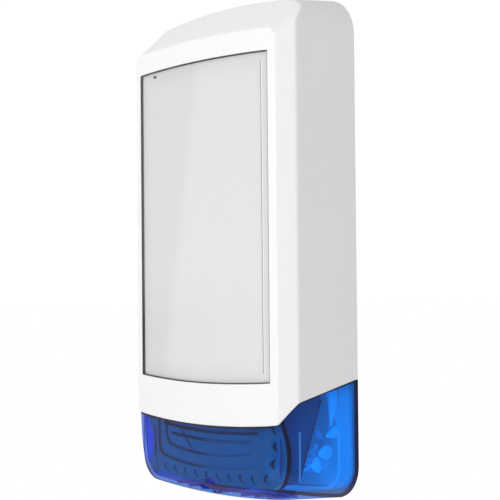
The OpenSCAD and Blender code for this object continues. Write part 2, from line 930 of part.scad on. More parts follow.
module cover_screw() {
    color("silver") pan_screw(0, screw_z, screw_r, 3.6, 2.6, 25.45, 6);
}

back_plate();
cable_grommet();
spirit_level();
hinge_pins();
screw_insert();
circuit_board();
board_screws();
terminal_block();
terminal_screws();
board_chips();
board_capacitors();
drive_transformer();
drive_transistors();
program_header();
board_connectors();
tamper_switch();
tamper_plunger();
tamper_spring();
wall_plunger();
wall_spring();
battery_cells();
battery_strap();
battery_lead();
sounder_housing();
housing_screws();
piezo_driver();
piezo_disc();
sounder_lead();
strobe_reflector();
reflector_screws();
strobe_boards();
strobe_leds();
cover_shell();
blue_lens();
lens_screws();
front_insert();
insert_window();
screw_retainer();
screw_o_ring();
cover_screw();
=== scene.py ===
"""Looks for an outdoor alarm siren: a tall white cover over a blue lens, hinged on a wall plate.

Shapes are worked out in millimetres as (x, depth, z), where depth is measured from the wall to the
front, and turned into metres in the frame's axes when each mesh is made.
"""
import json
import math
import random

import bmesh
import bpy
from mathutils import Matrix, Vector


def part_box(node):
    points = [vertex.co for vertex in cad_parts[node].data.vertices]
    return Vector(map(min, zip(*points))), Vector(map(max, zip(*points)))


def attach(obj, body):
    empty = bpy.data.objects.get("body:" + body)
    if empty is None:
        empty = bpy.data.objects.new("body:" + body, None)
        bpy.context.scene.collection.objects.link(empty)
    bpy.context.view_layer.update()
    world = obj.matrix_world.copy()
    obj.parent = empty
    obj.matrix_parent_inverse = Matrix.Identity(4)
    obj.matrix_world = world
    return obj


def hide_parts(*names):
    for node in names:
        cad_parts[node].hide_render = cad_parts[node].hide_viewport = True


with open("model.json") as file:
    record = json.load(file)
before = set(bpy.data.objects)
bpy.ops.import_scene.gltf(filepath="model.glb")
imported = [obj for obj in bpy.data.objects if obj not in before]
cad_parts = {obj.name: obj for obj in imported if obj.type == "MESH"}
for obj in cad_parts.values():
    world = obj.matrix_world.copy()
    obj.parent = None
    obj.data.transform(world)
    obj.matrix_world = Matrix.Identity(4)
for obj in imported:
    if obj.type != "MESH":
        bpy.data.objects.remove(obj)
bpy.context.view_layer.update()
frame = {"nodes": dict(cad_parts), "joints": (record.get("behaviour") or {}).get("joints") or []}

MM = 0.001


def node_box(name):
    """A CAD node's lowest and highest corners in millimetres."""
    lo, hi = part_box(name)
    return lo / MM, hi / MM


def joint_place(name):
    """The depth and height of a joint's axis in millimetres."""
    joints = {joint["name"]: joint for joint in frame["joints"]}
    x, y, z = joints[name]["pos_m"]
    return round(-y / MM, 3), round(z / MM, 3)


COVER_LO, COVER_HI = node_box("cover_shell")

# ---------- driving dimensions of the shell, in millimetres ----------

RIM_GAP = 0.3
SIDE_DRAFT = 3.1 / 46
BODY_D = -COVER_LO.y
RIM_X = COVER_HI.x + RIM_GAP * SIDE_DRAFT
SIDE_EDGE_D = 46.0
FACE_BOW = 4.0
FACE_HALF_W = 77.0
FACE_R = (FACE_HALF_W ** 2 + FACE_BOW ** 2) / (2 * FACE_BOW)
WALL = 2.5
SPLIT_GAP = 0.3
# How far the inner skin's edges draw in for each millimetre of wall: the side and lower edges of the
# face, the cover's face at its sides and corners, and the edge where the bevel begins
FACE_IN = 0.45
FACE_SIDE_IN = 0.47
FACE_CORNER_IN = 0.4
BEVEL_IN = 0.36

# The arched top: its radius at the wall, its centre, its draft and where its bevel begins
TOP_ARC_R = 556.0
TOP_ARC_Z = -392.0
TOP_DRAFT = 2.75 / 35
TOP_BEVEL_D = 35.0
TOP_BEVEL_SLOPE = 0.9035
TOP_CORNER_R = 25.0
FACE_CORNER_R = 7.0

# The bowed bottom
BOTTOM_ARC_R = 754.0
BOTTOM_ARC_Z = 591.5
BOTTOM_DRAFT = 2.5 / 47
BOTTOM_BEVEL_D = 47.0
BOTTOM_BEVEL_SLOPE = 0.6716
BOTTOM_CORNER_R = 22.0

# The line between cover and lens, as depth and height
SPLIT = [(-10.0, -80.2), (0.0, -82.9), (45.2, -94.9), (57.2, -110.5), (65.0, -118.1)]

# The hinge's axis, which the cover's rim bends round, and the cover screw's
HINGE_D, HINGE_Z = joint_place("cover_hinge")
SCREW_Z = joint_place("screw_turn")[1]

# The recess in the front face
PANEL_HALF_W = 70.8
PANEL_TOP = 124.2
PANEL_TOP_R = 1900.0
PANEL_BOTTOM = -86.6
PANEL_BOTTOM_R = 960.0
PANEL_DEPTH = 2.4
PANEL_CORNER_R = 0.8

# How finely each part of the outline is sampled, and how far along the side wall its first rows are
OUTLINE_STEPS = {"side": 26, "corner": 16, "arc": 34}
N_BOTTOM = 64
WALL_ROWS = (0.025, 0.06, 0.3, 0.55, 0.8)

# The camera: where it aims, how far away it is, and how it is turned
AIM = Vector((17.087, -30.0, 0.05)) * MM
CAMERA_DISTANCE = 0.98635
CAMERA_YAW = math.radians(52.24)
CAMERA_PITCH = math.radians(1.435)
CAMERA_ROLL = 0.009
CAMERA_LENS = 108


# ---------- small helpers ----------

def lerp(a, b, f):
    return a + (b - a) * f


def between(p, q, f):
    """The point at a share of the way from p to q."""
    return tuple(lerp(a, b, f) for a, b in zip(p, q))


def curve_point(points, f):
    """A point of the Bezier curve with these control points, and the direction there."""
    while len(points) > 2:
        points = [between(p, q, f) for p, q in zip(points, points[1:])]
    (x0, z0), (x1, z1) = points
    return between((x0, z0), (x1, z1), f), (x1 - x0, z1 - z0)


def smoothstep(f):
    f = min(max(f, 0.0), 1.0)
    return f * f * (3 - 2 * f)


def towards(p, q, distance):
    """The point at a distance from p on the way to q."""
    length = math.dist(p, q)
    return between(p, q, min(distance / max(length, 1e-9), 0.49))


def rounded(a, b, c, reach, steps=5):
    """Points that round the corner a-b-c, starting and ending at reach from b."""
    start, end = towards(b, a, reach), towards(b, c, reach)
    points = []
    for i in range(steps):
        f = i / (steps - 1)
        points.append(between(between(start, b, f), between(b, end, f), f))
    return points


def split_z(depth):
    """Height of the line between cover and lens at a depth."""
    for (d0, z0), (d1, z1) in zip(SPLIT, SPLIT[1:]):
        if depth <= d1:
            return lerp(z0, z1, (depth - d0) / (d1 - d0))
    return SPLIT[-1][1]


def face_depth(x):
    """Depth of the bowed front face at x."""
    return BODY_D - FACE_R + math.sqrt(FACE_R ** 2 - x ** 2)


class Skin:
    """Collects rows of points and the faces between them, and makes a mesh object of them."""

    def __init__(self):
        self.points, self.faces, self.slots, self.slot = [], [], [], 0

    def row(self, points):
        first = len(self.points)
        self.points += list(points)
        return list(range(first, len(self.points)))

    def face(self, *corners):
        self.faces.append(corners)
        self.slots.append(self.slot)

    def bridge(self, a, b, closed=False):
        last = len(a) if closed else len(a) - 1
        for i in range(last):
            j = (i + 1) % len(a)
            self.face(a[i], a[j], b[j], b[i])

    def loft(self, rows, closed=False):
        for a, b in zip(rows, rows[1:]):
            self.bridge(a, b, closed)

    def fan(self, ring, tip):
        for i, corner in enumerate(ring):
            self.face(corner, ring[(i + 1) % len(ring)], tip)

    def slab(self, n, distances, edge_slot, point_at):
        """A closed slab between two distances behind its front.

        Its points are point_at(across, up, distance), where across and up run from 0 to 1.
        """
        nx, nz = n
        sides = []
        for t in distances:
            rows = [self.row([point_at(i / nx, j / nz, t) for i in range(nx + 1)]) for j in range(nz + 1)]
            self.loft(rows)
            sides.append(rows)
        front, back = sides
        self.slot = edge_slot
        for end in (0, -1):
            self.bridge(front[end], back[end])
            self.bridge([row[end] for row in front], [row[end] for row in back])

    def build(self, name, materials):
        mesh = bpy.data.meshes.new(name)
        corners = [(x * MM, -d * MM, z * MM) for x, d, z in self.points]
        mesh.from_pydata(corners, [], self.faces)
        mesh.polygons.foreach_set("material_index", self.slots)
        obj = add_object(name, mesh, materials)
        clean_mesh(mesh)
        return obj


def add_object(name, mesh, materials):
    obj = bpy.data.objects.new(name, mesh)
    bpy.context.scene.collection.objects.link(obj)
    for item in materials:
        mesh.materials.append(item)
    return obj


def set_attribute(mesh, name, values):
    mesh.attributes.new(name, "FLOAT", "POINT").data.foreach_set("value", values)


def clean_mesh(mesh):
    """Merges doubled points, turns every face outwards and shades it smooth."""
    bm = bmesh.new()
    bm.from_mesh(mesh)
    bmesh.ops.remove_doubles(bm, verts=bm.verts, dist=0.002 * MM)
    bmesh.ops.recalc_face_normals(bm, faces=bm.faces)
    for face in bm.faces:
        face.smooth = True
    bm.to_mesh(mesh)
    bm.free()


def soften(obj, width, angle=38, weld=False):
    """Rounds the sharp edges of a piece and evens out its shading."""
    if weld:
        obj.modifiers.new("weld", "WELD").merge_threshold = 0.001 * MM
    bevel = obj.modifiers.new("bevel", "BEVEL")
    bevel.width = width * MM
    bevel.segments = 2
    bevel.limit_method = "ANGLE"
    bevel.angle_limit = math.radians(angle)
    bevel.use_clamp_overlap = True
    normals = obj.modifiers.new("normals", "WEIGHTED_NORMAL")
    normals.keep_sharp = True
    return obj


def place(piece, body, slot, *replaced):
    """Makes a piece ride on its body and hides the CAD nodes that it stands for. The slot, its finish's
    name, is not used.
    """
    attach(piece, body)
    if replaced:
        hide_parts(*replaced)


def apply_modifiers(obj):
    """Replaces the mesh by its modified form."""
    graph = bpy.context.evaluated_depsgraph_get()
    mesh = bpy.data.meshes.new_from_object(obj.evaluated_get(graph), depsgraph=graph)
    obj.modifiers.clear()
    obj.data = mesh


def boolean(obj, cutter, operation):
    """Adds or cuts a closed mesh, then removes it."""
    modifier = obj.modifiers.new("boolean", "BOOLEAN")
    modifier.operation = operation
    modifier.solver = "MANIFOLD"
    modifier.object = cutter
    bpy.context.view_layer.update()
    apply_modifiers(obj)
    bpy.data.objects.remove(cutter)


def moved(x, depth, z):
    return Matrix.Translation((x * MM, -depth * MM, z * MM))


def cone_mesh(bm, matrix, length, r0, r1, sides):
    """Adds a closed cone or bar along the matrix's z axis, centred on its origin, to a bmesh."""
    bmesh.ops.create_cone(bm, cap_ends=True, segments=sides, radius1=r0 * MM, radius2=r1 * MM,
                          depth=length * MM, matrix=matrix)


def rod_mesh(bm, x, z, r, d0, d1, sides=32):
    """Adds a closed round bar along Y between two depths to a bmesh."""
    cone_mesh(bm, moved(x, (d0 + d1) / 2, z) @ Matrix.Rotation(math.pi / 2, 4, "X"), d1 - d0, r, r, sides)


def box_mesh(bm, x, z, w, h, d0, d1):
    """Adds a closed box between two depths, centred on x and z, to a bmesh."""
    matrix = moved(x, (d0 + d1) / 2, z) @ Matrix.Diagonal((w * MM, (d1 - d0) * MM, h * MM, 1))
    bmesh.ops.create_cube(bm, size=1, matrix=matrix)


def bmesh_object(name, bm, materials=()):
    mesh = bpy.data.meshes.new(name)
    for face in bm.faces:
        face.smooth = True
    bm.to_mesh(mesh)
    bm.free()
    return add_object(name, mesh, materials)


# ---------- materials ----------

def srgb(r, g, b):
    """A colour given as display values from 0 to 255, as linear light."""
    def line(v):
        v = v / 255
        return v / 12.92 if v <= 0.04045 else ((v + 0.055) / 1.055) ** 2.4
    return (line(r), line(g), line(b), 1.0)


def shaded(colour, factor):
    return tuple(c * factor for c in colour[:3]) + (1.0,)


def grey(level):
    return level, level, level, 1.0


# Painted light: plastic with a glow is brightened by emission below this height, fading over a short
# distance; nothing there is a lamp
PAINTED_GLOW_TOP = -80.0
PAINTED_GLOW_SOFT = 14.0
# Clear parts never reflect more than this share of the light, however slanted it is
MOST_SHINE = 0.10
# The lens's tint for each surface passed, straight on and at a slant, and for light on its way in
LENS_TINT = (0.05, 0.55, 1.09, 1)
LENS_TINT_SLANT = (0.02, 0.12, 0.42, 1)
LENS_SOFT = (0.86, 0.97, 1.0, 1)
LENS_VIOLET = (0.37, 0.46, 0.90, 1)
# The painted highlight on the lens's side edges: its middle and half its height, how far behind the edge it
# is, half its width, how far out it starts, and its brightness
GLINT_Z = -129.75
GLINT_HALF_H = 16.25
GLINT_EDGE_D = 0.4
GLINT_HALF_W = 0.55
GLINT_X = 84.6
GLINT_LIGHT = 0.7
# The painted shade outline on the lens's rounded edge: its depth, width, and where it starts
OUTLINE_D = 45.9
OUTLINE_W = 2.0
OUTLINE_X = -64.0
OUTLINE_Z = -157.0
OUTLINE_SHADE = (0.03, 0.05, 0.13, 1)
# The lens looks deeper blue below this height
BOTTOM_TINT_Z = -149.0
BOTTOM_SOFT = 4.0
LENS_BOTTOM = (0.26, 0.47, 0.80, 1)
# The violet cast grows from here to the left
VIOLET_X = -42.0
VIOLET_SOFT = 36.0

# The painted sheen on the insert, a painted reflection: where its edge crosses z = 0, how far it leans, and
# how soft it is
SHEEN_X = -25.0
SHEEN_LEAN = 0.195
SHEEN_SOFT = 9.0
# The thin line near the right edge: its left edge, its width, its middle and half its height
LINE_X = 63.0
LINE_W = 0.6
LINE_MID_Z = 19.5
LINE_HALF_H = 97.5
# The insert's grey in painted shade and under the painted sheen
INSERT_PAINTED_SHADE = srgb(212, 211, 211)
INSERT_PAINTED_SHEEN = srgb(219, 218, 218)


class Tree:
    """A material's or the world's node tree, with a short call for each kind of node."""

    def __init__(self, owner):
        owner.use_nodes = True
        self.nodes, self.links = owner.node_tree.nodes, owner.node_tree.links
        self.nodes.clear()

    def add(self, kind, **values):
        """Adds a node and sets the inputs that are named, with _ for a space."""
        node = self.nodes.new("ShaderNode" + kind)
        for name, value in values.items():
            self.feed(node.inputs[name.replace("_", " ")], value)
        return node

    def feed(self, socket, value):
        """Sets an input to a plain value, or links another node's output to it."""
        if isinstance(value, bpy.types.NodeSocket):
            self.links.new(value, socket)
        else:
            socket.default_value = value

    def principled(self, **values):
        bsdf = self.add("BsdfPrincipled", **values)
        self.feed(self.add("OutputMaterial").inputs[0], bsdf.outputs[0])
        return bsdf

    def coords(self, scale):
        mapping = self.add("Mapping", Scale=(scale, scale, scale))
        self.feed(mapping.inputs["Vector"], self.add("TexCoord").outputs["Object"])
        return mapping.outputs["Vector"]

    def axes(self, vector):
        return self.add("SeparateXYZ", Vector=vector).outputs

    def attribute(self, name):
        node = self.add("Attribute")
        node.attribute_name = name
        return node.outputs["Fac"]

    def noise(self, vector, scale, detail=3.0):
        node = self.add("TexNoise", Vector=vector, Scale=scale, Detail=detail, Roughness=0.55)
        return node.outputs["Fac"]

    def ramp(self, source, stops):
        """A colour ramp whose stops are (place, colour)."""
        node = self.add("ValToRGB", Fac=source)
        elements = node.color_ramp.elements
        while len(elements) < len(stops):
            elements.new(0.5)
        for element, (place, colour) in zip(elements, stops):
            element.position = place
            element.color = colour
        return node.outputs["Color"]

    def math(self, operation, *values, clamp=False):
        node = self.add("Math")
        node.operation = operation
        node.use_clamp = clamp
        for socket, value in zip(node.inputs, values):
            self.feed(socket, value)
        return node.outputs[0]

    def times(self, first, *others):
        for value in others:
            first = self.math("MULTIPLY", first, value)
        return first

    def near(self, value, middle, reach):
        """1 where a value is within reach of the middle, else 0."""
        away = self.math("ABSOLUTE", self.math("SUBTRACT", value, middle))
        return self.math("LESS_THAN", away, reach)

    def below(self, value, top, soft):
        """0 above the top, growing to 1 over a soft stretch below it."""
        return self.math("MULTIPLY_ADD", value, -1 / soft, top / soft, clamp=True)

    def mix(self, fac, a, b, blend="MIX"):
        node = self.add("Mix")
        node.data_type = "RGBA"
        node.blend_type = blend
        for socket, value in ((node.inputs[0], fac), (node.inputs[6], a), (node.inputs[7], b)):
            self.feed(socket, value)
        return node.outputs[2]

    def mix_shader(self, fac, a, b):
        node = self.add("MixShader")
        for socket, value in zip(node.inputs, (fac, a.outputs[0], b.outputs[0])):
            self.feed(socket, value)
        return node

    def bump(self, height, strength, distance):
        return self.add("Bump", Height=height, Strength=strength, Distance=distance * MM).outputs["Normal"]

    def uneven(self, pattern, base, spread):
        """A roughness that follows a pattern."""
        return self.math("ADD", self.times(pattern, spread), base)

    def worn_edges(self, radius):
        """Light on worn convex edges: how far the rounded normal leans away from the true one."""
        bevel = self.add("Bevel", Radius=radius * MM)
        bevel.samples = 3
        dot = self.add("VectorMath")
        dot.operation = "DOT_PRODUCT"
        self.feed(dot.inputs[0], bevel.outputs["Normal"])
        self.feed(dot.inputs[1], self.add("NewGeometry").outputs["Normal"])
        lean = self.math("SUBTRACT", 1.0, dot.outputs["Value"], clamp=True)
        return self.math("MULTIPLY", lean, 2.5, clamp=True)

    def clear_output(self, clear, shine, ior):
        """Joins a see-through shader and a shiny one, which only shows on faces that look outwards."""
        fresnel = self.add("Fresnel", IOR=ior)
        outward = self.math("SUBTRACT", 1.0, self.add("NewGeometry").outputs["Backfacing"])
        share = self.math("MINIMUM", fresnel.outputs[0], MOST_SHINE)
        mixed = self.mix_shader(self.times(share, outward), clear, shine)
        self.feed(self.add("OutputMaterial").inputs[0], mixed.outputs[0])


def new_material(name):
    mat = bpy.data.materials.new(name)
    return mat, Tree(mat)


def plastic(name, colour, rough=0.38, grain=0.25, grain_size=0.7, vary=0.03, wear=0.25,
            painted_shade_lines=None, glow=0.0):
    """Moulded plastic: a fine grain, slow colour drift, uneven gloss and slightly worn edges.

    The argument for lines names a mesh attribute of painted shade, which darkens the plastic where it is 1.
    Glow is painted light: emission that brightens it below a set height, though nothing there is a lamp.
    """
    mat, tree = new_material(name)
    vector = tree.coords(1000)
    drift = tree.noise(vector, 0.03, 4)
    colour_now = tree.ramp(drift, [(0.3, shaded(colour, 1 - vary)), (0.7, shaded(colour, 1 + vary))])
    if wear:
        worn = tree.times(tree.worn_edges(0.5), wear)
        lighter = tuple(min(c * 1.25 + 0.02, 1.0) for c in colour[:3]) + (1.0,)
        colour_now = tree.mix(worn, colour_now, lighter)
    # Painted shade: the plastic darkens where the named attribute is 1
    if painted_shade_lines:
        colour_now = tree.mix(tree.attribute(painted_shade_lines), colour_now, shaded(colour, 0.06))
    gloss = tree.uneven(tree.noise(vector, 0.12, 3), rough - 0.08, 0.16)
    fine = tree.bump(tree.noise(vector, 1 / grain_size, 2), grain, 0.06)
    bsdf = tree.principled(Base_Color=colour_now, Roughness=gloss, Normal=fine, Specular_IOR_Level=0.4)
    # Painted light: emission brightens the plastic low in the body, where nothing is a lamp
    if glow:
        low = tree.below(tree.axes(vector)["Z"], PAINTED_GLOW_TOP, PAINTED_GLOW_SOFT)
        tree.feed(bsdf.inputs["Emission Strength"], tree.times(low, glow))
        tree.feed(bsdf.inputs["Emission Color"], (0.9, 0.95, 1.0, 1))
    return mat


def brushed_metal(name, colour, rough=0.3):
    """Turned or plated metal with fine streaks."""
    mat, tree = new_material(name)
    streaks = tree.add("Mapping", Vector=tree.coords(1000), Scale=(1.0, 9.0, 1.0))
    fine = tree.noise(streaks.outputs["Vector"], 1.4, 3)
    colour_now = tree.ramp(fine, [(0.35, shaded(colour, 0.82)), (0.7, colour)])
    tree.principled(Base_Color=colour_now, Roughness=tree.uneven(fine, rough - 0.1, 0.22),
                    Normal=tree.bump(fine, 0.3, 0.03), Metallic=1.0)
    return mat


def lens_outline(tree, parts):
    """1 on the rounded edge around the lens's front at the left and the bottom, where the painted shade
    goes, else 0.
    """
    line = tree.near(parts["Y"], -OUTLINE_D, OUTLINE_W / 2)
    left = tree.math("LESS_THAN", parts["X"], OUTLINE_X)
    low = tree.math("LESS_THAN", parts["Z"], OUTLINE_Z)
    return tree.times(line, tree.math("MAXIMUM", left, low))


def lens_tint(tree, vector, parts, straight, slanted):
    """The share of light that one surface lets through to the camera."""
    facing = tree.add("LayerWeight", Blend=0.35).outputs["Facing"]
    tint = tree.ramp(facing, [(0.42, straight), (0.95, slanted)])
    tint = tree.mix(tree.below(parts["X"], VIOLET_X, VIOLET_SOFT), tint, LENS_VIOLET)
    tint = tree.mix(tree.below(parts["Z"], BOTTOM_TINT_Z, BOTTOM_SOFT), tint, LENS_BOTTOM)
    drift = tree.noise(vector, 0.025, 3)
    cloudy = tree.ramp(drift, [(0.3, (0.93, 0.95, 0.97, 1)), (0.7, (1, 1, 1, 1))])
    return tree.mix(1.0, tint, cloudy, "MULTIPLY")


def lens_glint(tree, parts):
    """How strong the painted highlight on the rounded edge between side and bevel is: a thin line between
    two heights.
    """
    line = tree.near(parts["Y"], GLINT_EDGE_D - SIDE_EDGE_D, GLINT_HALF_W)
    outer = tree.math("GREATER_THAN", tree.math("ABSOLUTE", parts["X"]), GLINT_X)
    return tree.times(line, outer, tree.near(parts["Z"], GLINT_Z, GLINT_HALF_H), GLINT_LIGHT)


def lens_plastic(name, straight, slanted):
    """Clear blue polycarbonate. Its edges are darkened almost to black with painted shade, a painted
    highlight runs along its side edges, and its left end has a violet cast.
    """
    mat, tree = new_material(name)
    vector = tree.coords(1000)
    parts = tree.axes(vector)
    tint = lens_tint(tree, vector, parts, straight, slanted)
    # Light that enters on its way to the parts inside is hardly held back, so that they are well lit
    seen = tree.add("LightPath").outputs["Is Camera Ray"]
    through = tree.mix(seen, LENS_SOFT, tint)
    # Painted shade: the lens darkens almost to black near the split and the rim
    edge = tree.math("DIVIDE", tree.attribute("edge_mm"), 2.0)
    border = tree.ramp(edge, [(0.38, (0.03, 0.04, 0.09, 1)), (0.5, (1, 1, 1, 1))])
    through = tree.mix(1.0, through, border, "MULTIPLY")
    # Painted shade: a dark line on the rounded edge at the left and the bottom
    through = tree.mix(lens_outline(tree, parts), through, OUTLINE_SHADE)
    clear = tree.add("BsdfTransparent", Color=through)
    ripple = tree.bump(tree.noise(vector, 0.07, 2), 0.12, 0.5)
    shine = tree.add("BsdfGlossy", Color=(1.0, 0.8, 0.95, 1), Roughness=0.06, Normal=ripple)
    # Painted highlight: the glint line glows this blue
    lit = tree.add("Emission", Color=(0.04, 0.22, 0.70, 1))
    tree.clear_output(tree.mix_shader(lens_glint(tree, parts), clear, lit), shine, 1.4)
    return mat


def window_plastic(name):
    """The clear window of the front insert, with a little haze and very fine scratches."""
    mat, tree = new_material(name)
    scratches = tree.noise(tree.coords(1000), 0.9, 4)
    haze = tree.ramp(scratches, [(0.2, (0.975, 0.98, 0.98, 1)), (0.8, (1, 1, 1, 1))])
    clear = tree.add("BsdfTransparent", Color=haze)
    shine = tree.add("BsdfGlossy", Color=(0.9, 0.92, 0.94, 1), Roughness=0.12,
                     Normal=tree.bump(scratches, 0.05, 0.05))
    tree.clear_output(clear, shine, 1.3)
    return mat


def insert_shade(tree, parts, edge):
    """The insert's grey, with its slanting painted sheen and painted shade falling off along its edges."""
    # The painted sheen's edge runs from the top left of centre down towards the left
    across = tree.math("ADD", parts["X"], tree.times(parts["Z"], -SHEEN_LEAN))
    along = tree.math("SUBTRACT", across, SHEEN_X)
    painted_sheen = tree.math("MULTIPLY_ADD", along, 1 / SHEEN_SOFT, 0.5, clamp=True)
    shade = tree.mix(painted_sheen, INSERT_PAINTED_SHADE, INSERT_PAINTED_SHEEN)
    # Painted shade: the grey darkens towards the edges, where the recess's walls shade it
    recess_shade = tree.ramp(tree.math("DIVIDE", edge, 16.0),
                     [(0.0, (0.80, 0.80, 0.81, 1)), (0.2, grey(0.93)), (0.8, grey(1))])
    shade = tree.mix(1.0, shade, recess_shade, "MULTIPLY")
    # The lower part gets a little less light from the room
    lift = tree.math("MULTIPLY_ADD", parts["Z"], -0.00035, 1.035)
    return tree.mix(1.0, shade, lift, "MULTIPLY")


def insert_sheet(name):
    """Grey printed sheet behind the window, with a dark border of painted shadow and a thin line at its
    right.
    """
    mat, tree = new_material(name)
    vector = tree.coords(1000)
    parts = tree.axes(vector)
    edge = tree.attribute("edge_mm")
    shade = insert_shade(tree, parts, edge)
    # Painted shadow: the dark border stands for the shadow in the gap round the sheet. It is broader at the
    # left, where it shows beside the recess's wall
    at_left = tree.math("LESS_THAN", parts["X"], 2.0 - PANEL_HALF_W)
    reach = tree.math("MULTIPLY_ADD", at_left, 0.9, 0.4)
    shade = tree.mix(tree.math("LESS_THAN", edge, reach), shade, (0.035, 0.035, 0.037, 1))
    # The line is dark, then white
    near_z = tree.near(parts["Z"], LINE_MID_Z, LINE_HALF_H)
    for middle, colour in ((LINE_X + LINE_W / 2, grey(0.16)), (LINE_X + LINE_W * 1.5, grey(0.95))):
        near_x = tree.near(parts["X"], middle, LINE_W / 2)
        shade = tree.mix(tree.times(near_x, near_z), shade, colour)
    fine = tree.noise(vector, 2.2, 3)
    tree.principled(Base_Color=shade, Roughness=tree.uneven(fine, 0.42, 0.1),
                    Normal=tree.bump(fine, 0.15, 0.03))
    return mat


def circuit_green(name):
    """Solder mask with copper tracks under it."""
    mat, tree = new_material(name)
    cells = tree.add("TexVoronoi", Vector=tree.coords(1000), Scale=0.16)
    cells.distance = "CHEBYCHEV"
    bands = tree.times(cells.outputs["Distance"], 9.0)
    on_track = tree.math("GREATER_THAN", tree.math("FRACT", bands), 0.55)
    green = tree.mix(on_track, srgb(14, 82, 42), srgb(30, 118, 60))
    tree.principled(Base_Color=green, Roughness=0.32, Normal=tree.bump(on_track, 0.4, 0.04))
    return mat


def cell_wrap(name):
    """Shrink-wrapped battery cells with a dark band at each end."""
    mat, tree = new_material(name)
    vector = tree.coords(1000)
    reach = tree.math("ABSOLUTE", tree.axes(vector)["X"])
    wrinkle = tree.noise(vector, 0.5, 4)
    wrap = tree.mix(wrinkle, srgb(52, 140, 84), srgb(66, 158, 98))
    wrap = tree.mix(tree.math("GREATER_THAN", reach, 38.0), wrap, srgb(30, 34, 38))
    metal_end = tree.math("GREATER_THAN", reach, 49.2)
    tree.principled(Base_Color=tree.mix(metal_end, wrap, srgb(190, 190, 186)), Metallic=metal_end,
                    Roughness=0.35, Normal=tree.bump(wrinkle, 0.3, 0.1))
    return mat


def floor_material():
    mat, tree = new_material("floor_pale")
    pale = tree.ramp(tree.noise(tree.coords(1), 2.0, 3), [(0.3, grey(0.90)), (0.7, grey(0.94))])
    matt = tree.add("BsdfPrincipled", Base_Color=pale, Roughness=0.9)
    # A studio's lit sweep: to the camera the floor is as bright as the wall behind
    glow = tree.add("Emission")
    mixed = tree.mix_shader(tree.add("LightPath").outputs["Is Camera Ray"], matt, glow)
    tree.feed(tree.add("OutputMaterial").inputs[0], mixed.outputs[0])
    return mat


# The wall plate's plastic, which its margin and webs share
PLATE = {"rough": 0.5, "grain": 0.3, "grain_size": 1.1, "vary": 0.02}

COVER_WHITE = plastic("cover_white", srgb(238, 238, 238), rough=0.42, grain=0.18, grain_size=0.9,
                      vary=0.008)
# Painted light: the plate glows so that the inside of the lens looks brightly lit
PLATE_WHITE = plastic("plate_white", srgb(244, 245, 246), glow=0.13, **PLATE)
# Painted shade: the margin is the plate's white painted darker, as it catches more light through the lens's
# wall
MARGIN_SHADED_WHITE = plastic("plate_margin_painted_shade", srgb(208, 209, 210), **PLATE)
LENS_BLUE = lens_plastic("lens_blue", LENS_TINT, LENS_TINT_SLANT)
LENS_THIN = lens_plastic("lens_blue_thin", (0.85, 0.96, 1.0, 1), (0.5, 0.75, 0.95, 1))
# Painted shade: the lens's cut edge faces are near black
LENS_EDGE_SHADE = plastic("lens_blue_edge_painted_shade", srgb(12, 28, 70), rough=0.25, grain=0.1, vary=0.1, wear=0.0)
WINDOW_CLEAR = window_plastic("window_clear")
# Painted shade: the window's edge faces and its release hole are dark for the shadow in the gap round the
# window
WINDOW_EDGE_SHADE = plastic("window_edge_painted_shade", srgb(30, 31, 32), rough=0.3, grain=0.1, vary=0.1, wear=0.0)
INSERT_GREY = insert_sheet("insert_grey")
# Painted shade darkens the reflector's moulded lines
REFLECTOR_GREY = plastic("reflector_grey", srgb(136, 132, 128), rough=0.3, grain=0.2, grain_size=1.4,
                         vary=0.04, painted_shade_lines="groove_painted_shade")
CHEEK_BLACK = plastic("cheek_black", srgb(26, 28, 34), rough=0.4, grain=0.25, vary=0.1)
HOUSING_GREY = plastic("housing_grey", srgb(120, 132, 150), rough=0.45, grain=0.35, grain_size=1.2,
                       vary=0.05)
# Painted light: the strobe lobes glow though nothing lights them
LOBE_CLEAR = plastic("strobe_white", srgb(240, 243, 250), rough=0.2, grain=0.1, vary=0.01, wear=0.0,
                     glow=0.22)
# Painted light: the webs glow so that they look brightly lit
WEB_WHITE = plastic("gusset_white", srgb(244, 245, 246), glow=0.3, **PLATE)
STEEL = brushed_metal("steel", srgb(196, 198, 200))
BRASS = brushed_metal("brass", srgb(200, 164, 92))
RUBBER = plastic("rubber_black", srgb(34, 35, 37), rough=0.7, grain=0.5, grain_size=0.8, vary=0.12)
BLACK_PART = plastic("component_black", srgb(30, 31, 33), rough=0.45, grain=0.3, grain_size=0.5, vary=0.12)
TERMINAL = plastic("terminal_green", srgb(44, 140, 76), rough=0.4, vary=0.05)
CAN_BLUE = plastic("capacitor_blue", srgb(32, 44, 96), rough=0.32, vary=0.06)
IVORY = plastic("connector_ivory", srgb(232, 226, 206), rough=0.42, vary=0.03)
LEVEL_GREEN = plastic("level_green", srgb(176, 216, 60), rough=0.16, grain=0.05, vary=0.08)
CELLS = cell_wrap("cell_green")
LEAD_RED = plastic("lead_red", srgb(176, 36, 34), rough=0.45, vary=0.05)
BOARD = circuit_green("board_green")
FACET_CLEAR = plastic("strobe_cut", srgb(214, 224, 238), rough=0.12, grain=0.1, vary=0.08, wear=0.4)
# Painted shade: the strobe boards' white is painted dark grey
STROBE_BOARD_SHADED = plastic("board_white", srgb(120, 128, 138), rough=0.4, vary=0.05)


# ---------- outline of the body ----------

def half_columns():
    """The outline's right half from the split to the centre line, as (part, fraction)."""
    columns = [("side", f) for f in (0.0, 0.012, 0.024)]
    for part, steps in OUTLINE_STEPS.items():
        columns += [(part, i / steps) for i in range(1, steps + 1)]
    return columns


def ring(point_at):
    """A whole row of the open outline, from the right split point round to the left one."""
    right = [point_at(part, f) for part, f in half_columns()]
    return right + [(-x, d, z) for x, d, z in reversed(right[:-1])]


